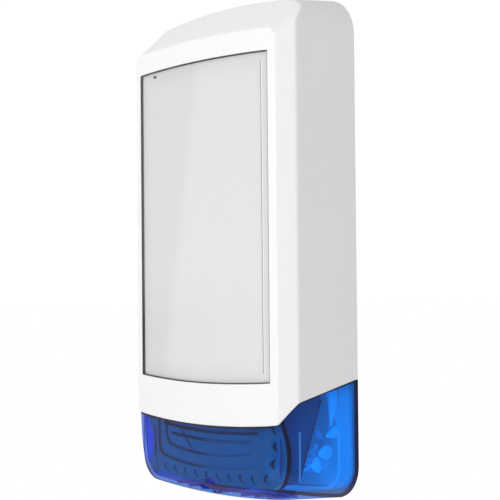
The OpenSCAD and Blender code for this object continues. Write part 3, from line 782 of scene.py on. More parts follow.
def outline_point(part, f, side, arc_r, arc_z, corner_r, z_start):
    """A point of the outline seen from the front. The arc is over the body if its centre is low."""
    up = 1 if arc_z < 0 else -1
    cx = side - corner_r
    reach = arc_r - corner_r
    cz = arc_z + up * math.sqrt(reach ** 2 - cx ** 2)
    lean = math.acos(cx / reach)
    if part == "side":
        return side, lerp(z_start, cz, f)
    if part == "corner":
        angle = lean * f
        return cx + corner_r * math.cos(angle), cz + up * corner_r * math.sin(angle)
    angle = lerp(lean, math.pi / 2, f)
    return arc_r * math.cos(angle), arc_z + up * arc_r * math.sin(angle)


class Shape:
    """What both parts of the body share: an arc and corners whose radii shrink with depth."""

    @classmethod
    def arc_r(cls, depth):
        return cls.wall_arc_r - cls.draft * depth

    @staticmethod
    def rim_depth(z):
        """Depth of the edge beside the wall at a height."""
        return RIM_GAP

    @classmethod
    def side_point(cls, part, f, depth, t):
        """A point of the side faces at a depth, moved in by t, as x and z."""
        corner_r = cls.wall_corner_r - SIDE_DRAFT * depth
        side = RIM_X - SIDE_DRAFT * depth
        return outline_point(part, f, side - t, cls.arc_r(depth) - t, cls.arc_z, corner_r - t,
                             split_z(depth) + cls.gap)


class CoverShape(Shape):
    """The arched upper part of the body."""
    wall_arc_r = TOP_ARC_R
    arc_z = TOP_ARC_Z
    draft = TOP_DRAFT
    wall_corner_r = TOP_CORNER_R
    gap = SPLIT_GAP / 2

    @staticmethod
    def edge_depth(part, f):
        """Depth at which the bevel begins: deeper on the sides than on the top."""
        if part == "side":
            return SIDE_EDGE_D
        if part == "arc":
            return TOP_BEVEL_D
        return lerp(SIDE_EDGE_D, TOP_BEVEL_D, smoothstep((f - 0.1) / 0.6))

    @staticmethod
    def rim_depth(z):
        rise = z - HINGE_Z
        if rise <= 0:
            return RIM_GAP
        reach = HINGE_D - RIM_GAP
        return HINGE_D - math.sqrt(reach ** 2 - rise ** 2)

    @staticmethod
    def face_point(part, f, t):
        side = FACE_HALF_W - FACE_SIDE_IN * t
        r = FACE_CORNER_R - FACE_CORNER_IN * t
        x = side - r
        for _ in range(4):
            drop = TOP_BEVEL_SLOPE * (face_depth(x) - TOP_BEVEL_D)
            arc_r = CoverShape.arc_r(TOP_BEVEL_D) - drop - FACE_IN * t
            start = split_z(face_depth(side)) + CoverShape.gap
            px, pz = outline_point(part, f, side, arc_r, TOP_ARC_Z, r, start)
            x = px if part == "arc" else side - r
        return px, face_depth(px) - t, pz


class LensShape(Shape):
    """The bowed lower part of the body."""
    wall_arc_r = BOTTOM_ARC_R
    arc_z = BOTTOM_ARC_Z
    draft = BOTTOM_DRAFT
    wall_corner_r = BOTTOM_CORNER_R
    gap = -SPLIT_GAP / 2
    # The front face's outline: a Bezier curve from the split round the corner, as x and z
    corner = [(73.6, -110.65), (72.0, -131.0), (70.5, -149.5), (50.0, -151.6)]
    side_share = 0.36
    bottom_z = -152.0

    @staticmethod
    def edge_depth(part, f):
        if part == "side":
            return SIDE_EDGE_D
        if part == "arc":
            return BOTTOM_BEVEL_D
        return lerp(SIDE_EDGE_D, BOTTOM_BEVEL_D, f)

    @staticmethod
    def face_point(part, f, t):
        if part == "arc":
            end_x, end_z = LensShape.corner[-1]
            x = lerp(end_x, 0.0, f) - FACE_IN * t * (1 - f)
            z = lerp(end_z, LensShape.bottom_z, 1 - (1 - f) ** 2) + FACE_IN * t
            return x, face_depth(x) - t, z
        share = LensShape.side_share
        share = share * f if part == "side" else lerp(share, 1.0, f)
        (x, z), (dx, dz) = curve_point(LensShape.corner, share)
        length = math.hypot(dx, dz)
        x += FACE_IN * t * dz / length
        z -= FACE_IN * t * dx / length
        return x, face_depth(x) - t, z


def rim_ring(shape, t):
    """The edge that meets the wall, moved in by t."""
    def point(part, f):
        depth = RIM_GAP
        for _ in range(3):
            x, z = shape.side_point(part, f, depth, t)
            depth = shape.rim_depth(z)
        return x, depth, z
    return ring(point)


def bevel_ring(shape, t):
    """The edge where the side and top faces turn into the bevel, moved in by t."""
    def point(part, f):
        depth = shape.edge_depth(part, f)
        x, z = shape.side_point(part, f, depth, t)
        return x, depth - BEVEL_IN * t, z
    return ring(point)


def face_ring(shape, t):
    return ring(lambda part, f: shape.face_point(part, f, t))


def inner_target(p, t):
    """A point on the front face a little further in than p: along the split near it, else inwards."""
    x = p[0] * 0.9
    depth = p[1] + t
    beside = p[2] + split_z(face_depth(x)) - split_z(depth)
    away = smoothstep(abs(p[2] - split_z(depth)) / 15.0)
    return x, face_depth(x) - t, lerp(beside, lerp(p[2], -10.0, 0.08), away)


def side_rows(shape, t, reach_bevel, reach_face):
    """Rows from the rim over both rounded edges on to the front face, moved in by t."""
    rim, edge, face = rim_ring(shape, t), bevel_ring(shape, t), face_ring(shape, t)
    rows = [rim]
    for f in WALL_ROWS:
        rows.append([between(a, towards(b, a, reach_bevel), f) for a, b in zip(rim, edge)])
    turns = [rounded(a, b, c, reach_bevel) for a, b, c in zip(rim, edge, face)]
    rows += [list(row) for row in zip(*turns)]
    rows.append([between(a, b, 0.5) for a, b in zip(edge, face)])
    turns = [rounded(b, c, inner_target(c, t), reach_face) for b, c in zip(edge, face)]
    rows += [list(row) for row in zip(*turns)]
    return rows


def on_face(x, z, t):
    return x, face_depth(x) - t, z


# ---------- the cover ----------

# How far the cover's two rounded edges reach from their corners: the bevel's and the face's
COVER_ROUND = (1.5, 1.3)
# The loops that fill the front face from its edge to the recess, and the recess's floor
FACE_ROWS = (0.3, 0.65, 0.9, 1.0)
FLOOR_ROWS = (1.0, 0.8, 0.5, 0.2)
# How thick the recess's floor is, and how far its wall stands off inside
RECESS_FLOOR = 2.0
RECESS_WALL = 1.6
# A pair of knuckles at each side: their middle, their distance from it, radius, width and arm
KNUCKLE_X = 40.0
KNUCKLE_OFF = 6.8
KNUCKLE_R = 3.9
KNUCKLE_W = 4.8
ARM_H = 5.6
ARM_UP = 3.6
# The bosses for the lens screws, as x, z and radius, and their depths
BOSS = (76.5, -90.5, 3.5)
BOSS_D = (46.2, 53.2)
# The post that presses the tamper: its radius, its clearance, its ribs and where it meets the recess
POST_R = 5.0
POST_GAP = 0.2
RIB_W = 17.0
RIB_T = 1.6
RIB_BACK = 5.0
POST_TOP_T = 4.2


def panel_top_z(x):
    return PANEL_TOP - PANEL_TOP_R + math.sqrt(PANEL_TOP_R ** 2 - x ** 2)


def panel_bottom_z(x):
    return PANEL_BOTTOM + PANEL_BOTTOM_R - math.sqrt(PANEL_BOTTOM_R ** 2 - x ** 2)


def panel_loop(grow, t):
    """The recess's outline as a closed loop that matches the cover's face loop."""
    w = PANEL_HALF_W + grow
    r = PANEL_CORNER_R
    low, high = panel_bottom_z(w) - grow, panel_top_z(w) + grow

    def point(part, f):
        if part == "side":
            return on_face(w, lerp(low, high - r, f), t)
        if part == "corner":
            angle = f * math.pi / 2
            return on_face(w - r + r * math.cos(angle), high - r + r * math.sin(angle), t)
        x = lerp(w - r, 0.0, f)
        return on_face(x, panel_top_z(x) + grow, t)

    loop = ring(point)
    for i in range(1, N_BOTTOM):
        x = lerp(-w, w, i / N_BOTTOM)
        loop.append(on_face(x, panel_bottom_z(x) - grow, t))
    return loop


def face_loop(last_row, t, gap):
    """The front face's outer loop: the last rounded row, closed along the split."""
    half = last_row[0][0]
    loop = list(last_row)
    for i in range(1, N_BOTTOM):
        x = lerp(-half, half, i / N_BOTTOM)
        loop.append(on_face(x, split_z(face_depth(x)) + gap, t))
    return loop


def blend_loops(a, b, f, t):
    return [on_face(lerp(p[0], q[0], f), lerp(p[2], q[2], f), t) if p != q else p for p, q in zip(a, b)]


def cover_skin(skin, t, panel_grow, panel_t):
    """One skin of the cover. Returns its side rows and its closed front loop."""
    rows = [skin.row(r) for r in side_rows(CoverShape, t, *COVER_ROUND)]
    skin.loft(rows)
    last = [skin.points[i] for i in rows[-1]]
    outline = face_loop(last, t, CoverShape.gap)
    recess, floor = panel_loop(panel_grow, t), panel_loop(panel_grow, panel_t)
    centre_z = (PANEL_TOP + PANEL_BOTTOM) / 2
    loops = [rows[-1] + skin.row(outline[len(last):])]
    for f in FACE_ROWS:
        loops.append(skin.row(blend_loops(outline, recess, f, t)))
    for f in FLOOR_ROWS:
        loops.append(skin.row([on_face(x * f, lerp(centre_z, z, f), panel_t) for x, d, z in floor]))
    skin.loft(loops, closed=True)
    skin.fan(loops[-1], skin.row([on_face(0.0, centre_z, panel_t)])[0])
    return rows, loops[0]


def close_edges(skin, outer, inner):
    """Joins an outer and an inner skin along the rim and down both ends of the split."""
    skin.bridge(outer[0], inner[0])
    for end in (0, -1):
        skin.bridge([row[end] for row in outer], [row[end] for row in inner])


def make_cover():
    skin = Skin()
    outer, outer_loop = cover_skin(skin, 0.0, 0.0, PANEL_DEPTH)
    inner, inner_loop = cover_skin(skin, WALL, RECESS_WALL, PANEL_DEPTH + RECESS_FLOOR)
    close_edges(skin, outer, inner)
    m = len(outer[-1])
    skin.bridge(outer_loop[m - 1:] + outer_loop[:1], inner_loop[m - 1:] + inner_loop[:1])
    cover = skin.build("cover_body", [COVER_WHITE])
    soften(cover, 0.3, angle=42)
    place(cover, "cover", "cover_white", "cover_shell")


def knuckle(bm, x):
    """One hinge knuckle, an eye on a short arm under the cover's top."""
    matrix = moved(x, HINGE_D, HINGE_Z) @ Matrix.Rotation(math.pi / 2, 4, "Y")
    cone_mesh(bm, matrix, KNUCKLE_W, KNUCKLE_R, KNUCKLE_R, 36)
    box_mesh(bm, x, HINGE_Z + ARM_UP, KNUCKLE_W, ARM_H, HINGE_D - KNUCKLE_R, HINGE_D + KNUCKLE_R)


def tamper_post(bm):
    """The ribbed post on the recess's back that presses the tamper's plunger."""
    lo, hi = node_box("tamper_plunger")
    x, z = (lo.x + hi.x) / 2, (lo.z + hi.z) / 2
    end = POST_GAP - lo.y
    root = face_depth(x) - POST_TOP_T
    rod_mesh(bm, x, z, POST_R, end, root, 40)
    for w, h in ((RIB_W, RIB_T), (RIB_T, RIB_W)):
        box_mesh(bm, x, z, w, h, end + RIB_BACK, root)


def make_cover_fittings():
    """Knuckles, the tamper post and the lens screws' bosses inside the cover."""
    bm = bmesh.new()
    for s in (-1, 1):
        for side in (-1, 1):
            knuckle(bm, s * KNUCKLE_X + side * KNUCKLE_OFF)
        x, z, r = BOSS
        rod_mesh(bm, s * x, z, r, *BOSS_D)
    tamper_post(bm)
    fittings = bmesh_object("cover_fittings", bm, [COVER_WHITE])
    soften(fittings, 0.35)
    place(fittings, "cover", "cover_white")


# ---------- the front insert and its window ----------

# The gap round both sheets, their distances behind the front face, and their grid
SHEET_GAP = 0.35
INSERT_T = (PANEL_DEPTH - 0.82, PANEL_DEPTH - 0.02)
WINDOW_T = (0.15, PANEL_DEPTH - 0.84)
SHEET_N = (96, 24)
# The release hole at the window's top left, as x, z and radius, and its ends behind the front face
RELEASE_HOLE = (-51.7, 119.8, 0.8)
RELEASE_HOLE_T = (1.5, 0.1)


def sheet(name, behind, materials, edge_slot):
    """A thin sheet that fills the recess, between two distances behind the front face."""
    w = PANEL_HALF_W - SHEET_GAP
    skin = Skin()
    distances = []

    def point(across, up, t):
        x = w * lerp(-1.0, 1.0, ease_ends(across))
        low, high = panel_bottom_z(x) + SHEET_GAP, panel_top_z(x) - SHEET_GAP
        z = lerp(low, high, ease_ends(up))
        distances.append(max(min(w - abs(x), z - low, high - z), 0.0))
        return on_face(x, z, t)

    skin.slab(SHEET_N, behind, edge_slot, point)
    obj = skin.build(name, materials)
    set_attribute(obj.data, "edge_mm", distances)
    return obj


def ease_ends(f):
    """Packs a grid's lines closer at both ends."""
    return 0.5 - 0.5 * math.cos(math.pi * f)


def make_insert():
    insert = sheet("front_insert_sheet", INSERT_T, [INSERT_GREY], 0)
    place(insert, "cover", "insert_grey", "front_insert")


def make_window():
    # The window's edge faces carry the painted shade
    window = sheet("insert_window_sheet", WINDOW_T, [WINDOW_CLEAR, WINDOW_EDGE_SHADE], 1)
    place(window, "cover", "window_clear", "insert_window")
    # The release hole is a dark bar of painted shade
    bm = bmesh.new()
    x, z, r = RELEASE_HOLE
    rod_mesh(bm, x, z, r, *[face_depth(x) - t for t in RELEASE_HOLE_T], 20)
    hole = bmesh_object("window_release_hole", bm, [WINDOW_EDGE_SHADE])
    soften(hole, 0.1)
    place(hole, "cover", "window_clear")


# ---------- the lens ----------

# How far the lens's two rounded edges reach from their corners: the bevel's and the face's
LENS_ROUND = (1.6, 2.2)
# How far out the lens's top edge is, in half widths, where the side and the corner end
TOP_SHARES = (0.84, 0.62)
# The rows that fill the lens's face from its rounded edge to the split
FILL_ROWS = (0.12, 0.28, 0.46, 0.64, 0.82, 0.94, 0.975, 1.0)
# The ears on both sides: place, size and depths
EAR = (77.4, -100.0, 9.6, 29.0)
EAR_D = (43.1, 46.0)


def lens_skin(skin, t):
    """One skin of the lens. Returns its side rows and its top edge."""
    rows = [skin.row(r) for r in side_rows(LensShape, t, *LENS_ROUND)]
    skin.loft(rows)
    last = [skin.points[i] for i in rows[-1]]
    half = last[0][0]
    ends = {"side": (1.0, TOP_SHARES[0]), "corner": TOP_SHARES, "arc": (TOP_SHARES[1], 0.0)}
    shares = [lerp(*ends[part], f) for part, f in half_columns()]
    shares += [-s for s in reversed(shares[:-1])]
    top = [on_face(half * s, split_z(face_depth(half * s)) + LensShape.gap, t) for s in shares]
    top[0], top[-1] = last[0], last[-1]
    fill = [rows[-1]] + [skin.row(blend_loops(last, top, f, t)) for f in FILL_ROWS]
    skin.loft(fill)
    return rows, fill[-1]


def lens_edge_distance(depth, z):
    """How far a point of the lens is from the split or from the rim, whichever is nearer."""
    return max(min(split_z(depth) + LensShape.gap - z, depth - RIM_GAP), 0.0)


# The cover screw's tunnel through the lens: its radii, the depths of its ends, and how far it keeps
# inside the lens's skin
TUNNEL_R = 6.0
TUNNEL_BACK = 22.0
TUNNEL_IN = 0.4
TUNNEL_SIDES = 48
CHANNEL_R = 4.2
CHANNEL_BACK = 24.0
SHANK_HOLE_R = 2.1
SHANK_HOLE_BACK = 15.0
# Cutters reach to this depth, which is in front of everything
CUT_D = 75.0
# The slots in the lens's floor: their places, width, and depths
FLOOR_SLOTS = (-50, -36, -22, 22, 36, 50)
SLOT_W = 3.0
SLOT_D = (20.0, 42.0)
SLOT_Z = -160.0
SLOT_H = 20.0


def lens_floor_z(depth):
    return BOTTOM_ARC_Z - LensShape.arc_r(depth)


def bevel_depth(z):
    """Depth of the lens's lower bevel at a height, or a little behind it."""
    depth = BOTTOM_BEVEL_D + (z - lens_floor_z(BOTTOM_BEVEL_D)) / BOTTOM_BEVEL_SLOPE
    return min(depth, BODY_D - RIM_GAP) - 0.1


def screw_tunnel():
    """The solid bar that the screw's channel is cut in, ending flush with the lower bevel."""
    skin = Skin()
    back, front = [], []
    for i in range(TUNNEL_SIDES):
        angle = 2 * math.pi * i / TUNNEL_SIDES
        x, z = TUNNEL_R * math.cos(angle), SCREW_Z + TUNNEL_R * math.sin(angle)
        back.append((x, TUNNEL_BACK, max(z, lens_floor_z(TUNNEL_BACK) + TUNNEL_IN)))
        z = max(z, lens_floor_z(BOTTOM_BEVEL_D) + TUNNEL_IN)
        front.append((x, bevel_depth(z), z))
    back, front = skin.row(back), skin.row(front)
    skin.bridge(back, front, closed=True)
    skin.fan(back, skin.row([(0.0, TUNNEL_BACK, SCREW_Z)])[0])
    skin.fan(front, skin.row([(0.0, bevel_depth(SCREW_Z), SCREW_Z)])[0])
    return skin.build("tunnel", [LENS_BLUE])


def lens_openings():
    """The screw's channel and hole, and the slots in the floor, as one cutter."""
    bm = bmesh.new()
    rod_mesh(bm, 0, SCREW_Z, CHANNEL_R, CHANNEL_BACK, CUT_D, 40)
    rod_mesh(bm, 0, SCREW_Z, SHANK_HOLE_R, SHANK_HOLE_BACK, CHANNEL_BACK - 0.01, 32)
    for x in FLOOR_SLOTS:
        box_mesh(bm, x, SLOT_Z, SLOT_W, SLOT_H, *SLOT_D)
    return bmesh_object("openings", bm, [LENS_BLUE])


def mark_lens_edges(obj):
    distances = [lens_edge_distance(-v.co.y / MM, v.co.z / MM) for v in obj.data.vertices]
    set_attribute(obj.data, "edge_mm", distances)


def make_lens_ears():
    """The ears behind the cover's bosses, which the lens screws hold."""
    bm = bmesh.new()
    x, z, w, h = EAR
    for s in (-1, 1):
        box_mesh(bm, s * x, z, w, h, *EAR_D)
    ears = bmesh_object("lens_ears", bm, [LENS_THIN])
    mark_lens_edges(ears)
    soften(ears, 0.4)
    place(ears, "cover", "lens_blue")


def make_lens():
    skin = Skin()
    outer, outer_top = lens_skin(skin, 0.0)
    inner, inner_top = lens_skin(skin, WALL)
    # The rim and split faces get the painted shade
    skin.slot = 1
    close_edges(skin, outer, inner)
    skin.bridge(outer_top, inner_top)
    lens = skin.build("lens_body", [LENS_BLUE, LENS_EDGE_SHADE])
    boolean(lens, screw_tunnel(), "UNION")
    boolean(lens, lens_openings(), "DIFFERENCE")
    mark_lens_edges(lens)
    soften(lens, 0.25, angle=42)
    place(lens, "cover", "lens_blue", "blue_lens")


# ---------- sounder, reflector and strobe ----------

REFLECTOR_TOP = -74.4
REFLECTOR_BOTTOM = -152.4
REFLECTOR_CORNER_R = 6.0
REFLECTOR_HALF_W = 74.0
REFLECTOR_TOP_HALF_W = 69.8
REFLECTOR_THICK = 3.6
# How far the plate's middle is behind the lens's face, and where its sides turn back and how far
REFLECTOR_BACK = 5.2
SIDES_X = 57.0
SIDES_SOFT = 15.5
SIDES_D = 51.9
# The sides are hollowed over this height, and the lowest part draws back
HOLLOW_Z = -130.5
HOLLOW_HALF_H = 20.5
HOLLOW_DEPTH = 5.4
LOW_DEPTH = 3.6
LOW_SOFT = 8.0


def reflector_half_width(z):
    corner_z = REFLECTOR_BOTTOM + REFLECTOR_CORNER_R
    if z > corner_z:
        return lerp(REFLECTOR_HALF_W, REFLECTOR_TOP_HALF_W, smoothstep((z - STEP_TOP) / 6))
    rest = math.sqrt(max(REFLECTOR_CORNER_R ** 2 - (z - corner_z) ** 2, 0.0))
    return REFLECTOR_HALF_W - REFLECTOR_CORNER_R + rest


def hollow(z):
    """How much the reflector's sides draw back at a height."""
    return max(1 - ((z - HOLLOW_Z) / HOLLOW_HALF_H) ** 2, 0.0)


def u_inside(x, z, half_w, bottom, bow, r):
    """How far a point is inside a U with round lower corners; negative outside."""
    dx = half_w - abs(x)
    dz = z - (bottom + bow * x * x)
    if dx < r and dz < r:
        return r - math.hypot(r - dx, r - dz)
    return min(dx, dz)


# The two U-shaped steps: half width, lowest height and bow
STEPS = [(57.0, -141.8, 0.0016), (49.0, -133.7, 0.0019)]
STEP_DEPTH = 1.2
STEP_TOP = -108.0
STEP_R = 7.0
# The two long grooves: height, bow, half length and how much of the line's painted shade is left on the
# right
GROOVES = [(-118.6, 0.0009, 53.0, 0.7), (-124.2, 0.0009, 45.0, 0.3)]
GROOVE_DEPTH = 1.0
GROOVE_HALF_W = 0.7
# The lines' painted shade is weaker to the right of here
FADE_X = -15.0
FADE_SOFT = 20.0
STEPS_LEFT_OVER = 0.3
# The row of crescent slots and the ones up each side: their radius, greatest width and depth
HOLE_PITCH = 12.0
HOLES = [((i - 5) * HOLE_PITCH + 1.0, -147.3 + 2.6 * ((i - 5) / 5) ** 2) for i in range(11)]
SIDE_HOLES = [(s * x, z) for s in (-1, 1) for x, z in ((67.5, -113), (66.8, -124), (65.5, -135))]
HOLE_R = 2.8
HOLE_W = 1.7
HOLE_DEPTH = 1.3
# The plate's lower edge rises towards its sides: by how much at 60 mm out, and below what height
SAG = 1.6
SAG_Z = -128.0
REFLECTOR_N = (250, 150)
# What is cut out: holes for the pillars as x, z and radius, the sounder's opening as x, z and size, the
# depths of both cuts, and the gap round the screw's tunnel
PILLAR_HOLE = (62.0, -80.0, 3.4)
SOUNDER_OPENING = (0.0, -93.0, 96.0, 22.0)
PLATE_CUT_D = (40.0, 70.0)
TUNNEL_GAP = 0.6


def crescent(dx, dz):
    """1 inside a crescent bowed to the left about a hole's centre, fading to 0 at its edge."""
    outside = HOLE_R - math.hypot(dx, dz)
    inside = math.hypot(dx - HOLE_W, dz) - HOLE_R
    return smoothstep(min(outside, inside) / 0.5 + 0.5) if dx < 0 else 0.0


def reflector_depth(x, z):
    """The plate's front surface at a point, and how much painted shade darkens a moulded line there."""
    depth = face_depth(x) - REFLECTOR_BACK
    sides = smoothstep((abs(x) - SIDES_X) / SIDES_SOFT)
    depth = lerp(depth, min(SIDES_D - HOLLOW_DEPTH * hollow(z), depth), sides)
    low = smoothstep((REFLECTOR_BOTTOM + LOW_SOFT - z) / LOW_SOFT)
    depth -= LOW_DEPTH * low * (1 - sides)
    below = smoothstep((STEP_TOP - z) / 2)
    right = smoothstep((x - FADE_X) / FADE_SOFT)
    # Painted shade: how dark the steps, grooves and crescent slots are painted
    line = 0.0
    for half_w, bottom, bow in STEPS:
        inside = u_inside(x, z, half_w, bottom, bow, STEP_R)
        depth -= STEP_DEPTH * smoothstep(inside / 0.9 + 0.5) * below
        line = max(line, (1.5 - abs(inside) / 0.8) * below)
    line *= lerp(1.0, STEPS_LEFT_OVER, right)
    for at, bow, half_w, left_over in GROOVES:
        away = abs(z - (at + bow * x * x))
        ends = smoothstep((half_w - abs(x)) / 1.5)
        depth -= GROOVE_DEPTH * smoothstep((GROOVE_HALF_W - away) / 0.6 + 0.5) * ends
        line = max(line, min(2.0 - away / 0.7, 1.0) * ends * lerp(1.0, left_over, right))
    for hx, hz in HOLES + SIDE_HOLES:
        share = crescent(x - hx, z - hz)
        depth -= HOLE_DEPTH * share
        line = max(line, 1.7 * share)
    return depth, min(max(line, 0.0), 1.0)


def reflector_cutter():
    bm = bmesh.new()
    x, z, r = PILLAR_HOLE
    for s in (-1, 1):
        rod_mesh(bm, s * x, z, r, *PLATE_CUT_D, 24)
    box_mesh(bm, *SOUNDER_OPENING, *PLATE_CUT_D)
    rod_mesh(bm, 0, SCREW_Z, TUNNEL_R + TUNNEL_GAP, *PLATE_CUT_D, 32)
    return bmesh_object("cutter", bm, [REFLECTOR_GREY])


def make_reflector():
    """The stepped plate in front of the sounder, which throws the strobe's light forward."""
    skin = Skin()
    painted_shade_lines = []

    def point(across, up, back):
        z = lerp(REFLECTOR_BOTTOM, REFLECTOR_TOP, up)
        x = reflector_half_width(z) * lerp(-1.0, 1.0, across)
        z += SAG * (x / 60) ** 2 * smoothstep((SAG_Z - z) / 20)
        depth, line = reflector_depth(x, z)
        painted_shade_lines.append(0.0 if back else line)
        return x, depth - back, z

    skin.slab(REFLECTOR_N, (0.0, REFLECTOR_THICK), 1, point)
    plate = skin.build("strobe_reflector_plate", [REFLECTOR_GREY, CHEEK_BLACK])
    # The painted shade on the moulded lines goes on as a mesh attribute
    set_attribute(plate.data, "groove_painted_shade", painted_shade_lines)
    boolean(plate, reflector_cutter(), "DIFFERENCE")
    place(plate, "base", "reflector_grey", "strobe_reflector")


# Each strobe lobe: its root and its tip as depth and height, and its greatest radius
LOBES = [((18.0, -118.6), (4.8, -114.8), 3.9), ((24.6, -129.4), (13.2, -128.2), 4.9),
         ((30.0, -136.6), (22.0, -135.6), 5.6)]
LOBE_X = 77.5
LOBE_FLAT = 0.6
LOBE_RINGS = 16
LOBE_SIDES = 28
# The cut facets at the lobes' roots, as depth, height and size
FACETS = [(19.5, -117.4, 2.4), (17.6, -119.8, 1.6), (22.6, -125.6, 2.0), (24.6, -129.0, 2.6),
          (21.5, -131.2, 1.5), (27.2, -132.8, 2.3), (29.0, -136.6, 2.4), (26.4, -139.4, 1.7)]
FACET_X = 73.4


def lobe(skin, side, root, tip, radius):
    """A teardrop from a narrow root to a round tip."""
    length = math.dist(root, tip)
    along = ((tip[0] - root[0]) / length, (tip[1] - root[1]) / length)
    before = None
    for i in range(1, LOBE_RINGS):
        f = i / LOBE_RINGS
        r = radius * math.sqrt(max(1 - (2 * f - 1) ** 2, 0.0)) * lerp(0.55, 1.0, smoothstep(f * 1.3))
        points = []
        for k in range(LOBE_SIDES):
            angle = 2 * math.pi * k / LOBE_SIDES
            out = r * math.sin(angle)
            x = side * (LOBE_X + LOBE_FLAT * r * math.cos(angle))
            depth = root[0] + along[0] * length * f - along[1] * out
            points.append((x, depth, root[1] + along[1] * length * f + along[0] * out))
        now = skin.row(points)
        if before:
            skin.bridge(before, now, closed=True)
        else:
            skin.fan(now, skin.row([(side * LOBE_X, *root)])[0])
        before = now
    skin.fan(before, skin.row([(side * LOBE_X, *tip)])[0])


def facet_mesh(bm, rng, x, depth, z, size):
    """Adds one cut crystal, turned at random, to a bmesh."""
    turn = Matrix.Rotation(rng.uniform(0, 3), 4, "Y") @ Matrix.Rotation(rng.uniform(0, 3), 4, "Z")
    cone_mesh(bm, moved(x, depth, z) @ turn, 1.7 * size, size, 0.3 * size, 4)


def make_strobe_lights():
    """Three clear lobes on each side of the housing, with cut facets at their roots."""
    rng = random.Random(7)
    for s, label in ((-1, "left"), (1, "right")):
        for number, (root, tip, radius) in enumerate(LOBES, 1):
            skin = Skin()
            lobe(skin, s, root, tip, radius)
            piece = skin.build("strobe_lobe_%s_%d" % (label, number), [LOBE_CLEAR])
            place(piece, "base", "led_amber")
        bm = bmesh.new()
        for depth, z, size in FACETS:
            facet_mesh(bm, rng, s * FACET_X, depth, z, size)
        facets = bmesh_object("strobe_facets_" + label, bm, [FACET_CLEAR])
        for face in facets.data.polygons:
            face.use_smooth = False
        place(facets, "base", "led_amber")
    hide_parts("strobe_leds")


# The white gusset beside the housing, as depth and height
GUSSET = [(13.6, -84.0), (12.4, -100.0), (11.2, -113.5), (2.6, -88.5), (2.4, -84.0)]
GUSSET_X = (73.6, 75.2)
# The plate's margin: its gap to the lens, its width and its depths
MARGIN_GAP = 0.5
MARGIN_W = 5.0
MARGIN_D = (0.5, 3.02)
# The wire in front of the reflector, as x and z, and its radius
WIRE = [(-28.5, -118.5), (-25.0, -121.5), (-19.0, -127.0), (-14.5, -132.0)]
WIRE_R = 0.3


def make_plate_margin():
    """The plate's edge round the bottom, which reaches out to the lens's wall."""
    skin = Skin()
    loops = []
    for inset in (WALL + MARGIN_GAP, WALL + MARGIN_GAP + MARGIN_W):
        for depth in MARGIN_D:
            rim = rim_ring(LensShape, inset)
            loops.append(skin.row([(x, depth, z) for x, d, z in rim]))
    outer_back, outer_front, inner_back, inner_front = loops
    around = [outer_back, outer_front, inner_front, inner_back]
    skin.loft(around + around[:1])
    for end in (0, -1):
        skin.face(*[row[end] for row in around])
    margin = soften(skin.build("plate_margin", [MARGIN_SHADED_WHITE]), 0.3)
    place(margin, "base", "plate_white")


def make_gussets():
    """The thin webs that brace the plate beside the sounder housing."""
    for s, label in ((-1, "left"), (1, "right")):
        skin = Skin()
        near = skin.row([(s * GUSSET_X[0], d, z) for d, z in GUSSET])
        far = skin.row([(s * GUSSET_X[1], d, z) for d, z in GUSSET])
        skin.bridge(near, far, closed=True)
        skin.face(*near)
        skin.face(*reversed(far))
        web = soften(skin.build("gusset_web_" + label, [WEB_WHITE]), 0.3)
        place(web, "base", "plate_white")


def make_strobe_wire():
    """The thin wire that crosses the reflector's upper steps."""
    curve = bpy.data.curves.new("strobe_wire", "CURVE")
    curve.dimensions = "3D"
    curve.bevel_depth = WIRE_R * MM
    curve.bevel_resolution = 3
    spline = curve.splines.new("NURBS")
    spline.points.add(len(WIRE) - 1)
    for item, (x, z) in zip(spline.points, WIRE):
        item.co = (x * MM, -(face_depth(x) - REFLECTOR_BACK + 0.1) * MM, z * MM, 1)
    spline.use_endpoint_u = True
    curve.materials.append(CHEEK_BLACK)
    wire = bpy.data.objects.new("strobe_wire", curve)
    bpy.context.scene.collection.objects.link(wire)
    place(wire, "base", "lead_red")


# ---------- CAD nodes that keep their shape ----------

KEPT = [
    (PLATE_WHITE, 0.35, ["back_plate"]),
    (RUBBER, 0.3, ["cable_grommet"]),
    (LEVEL_GREEN, 0.4, ["spirit_level"]),
    (STEEL, 0.25, ["hinge_pins", "board_screws", "terminal_screws", "housing_screws", "reflector_screws",
                   "lens_screws", "cover_screw"]),
    (STEEL, 0.0, ["tamper_spring", "wall_spring"]),
    (BRASS, 0.2, ["screw_insert", "piezo_disc"]),
    (RUBBER, 0.0, ["screw_o_ring"]),
    (BOARD, 0.15, ["circuit_board"]),
    (TERMINAL, 0.3, ["terminal_block"]),
    (BLACK_PART, 0.2, ["board_chips", "drive_transistors", "program_header", "tamper_switch",
                       "piezo_driver"]),
    (CAN_BLUE, 0.35, ["board_capacitors"]),
    (BRASS, 0.3, ["drive_transformer"]),
    (IVORY, 0.25, ["board_connectors", "tamper_plunger", "wall_plunger", "screw_retainer"]),
    (CELLS, 0.4, ["battery_cells"]),
    (RUBBER, 0.3, ["battery_strap"]),
    (LEAD_RED, 0.15, ["battery_lead", "sounder_lead"]),
    (HOUSING_GREY, 0.4, ["sounder_housing"]),
    (STROBE_BOARD_SHADED, 0.15, ["strobe_boards"]),
]


def dress_kept_nodes():
    for mat, width, names in KEPT:
        for name in names:
            node = frame["nodes"][name]
            node.data.materials.clear()
            node.data.materials.append(mat)
            if width:
                soften(node, width, weld=True)


# ---------- stage, light and camera ----------

# The floor's height and half its width, in metres
FLOOR_Z = -0.75
FLOOR_HALF_W = 60


def make_floor():
    bm = bmesh.new()
    bmesh.ops.create_grid(bm, x_segments=2, y_segments=2, size=FLOOR_HALF_W)
    floor = bmesh_object("floor", bm, [floor_material()])
    floor.location = (0, 0, FLOOR_Z)


# The strength of the world's light, and how bright the wall behind looks to the camera
WORLD_LIGHT = 0.97
BACKDROP = 1.05
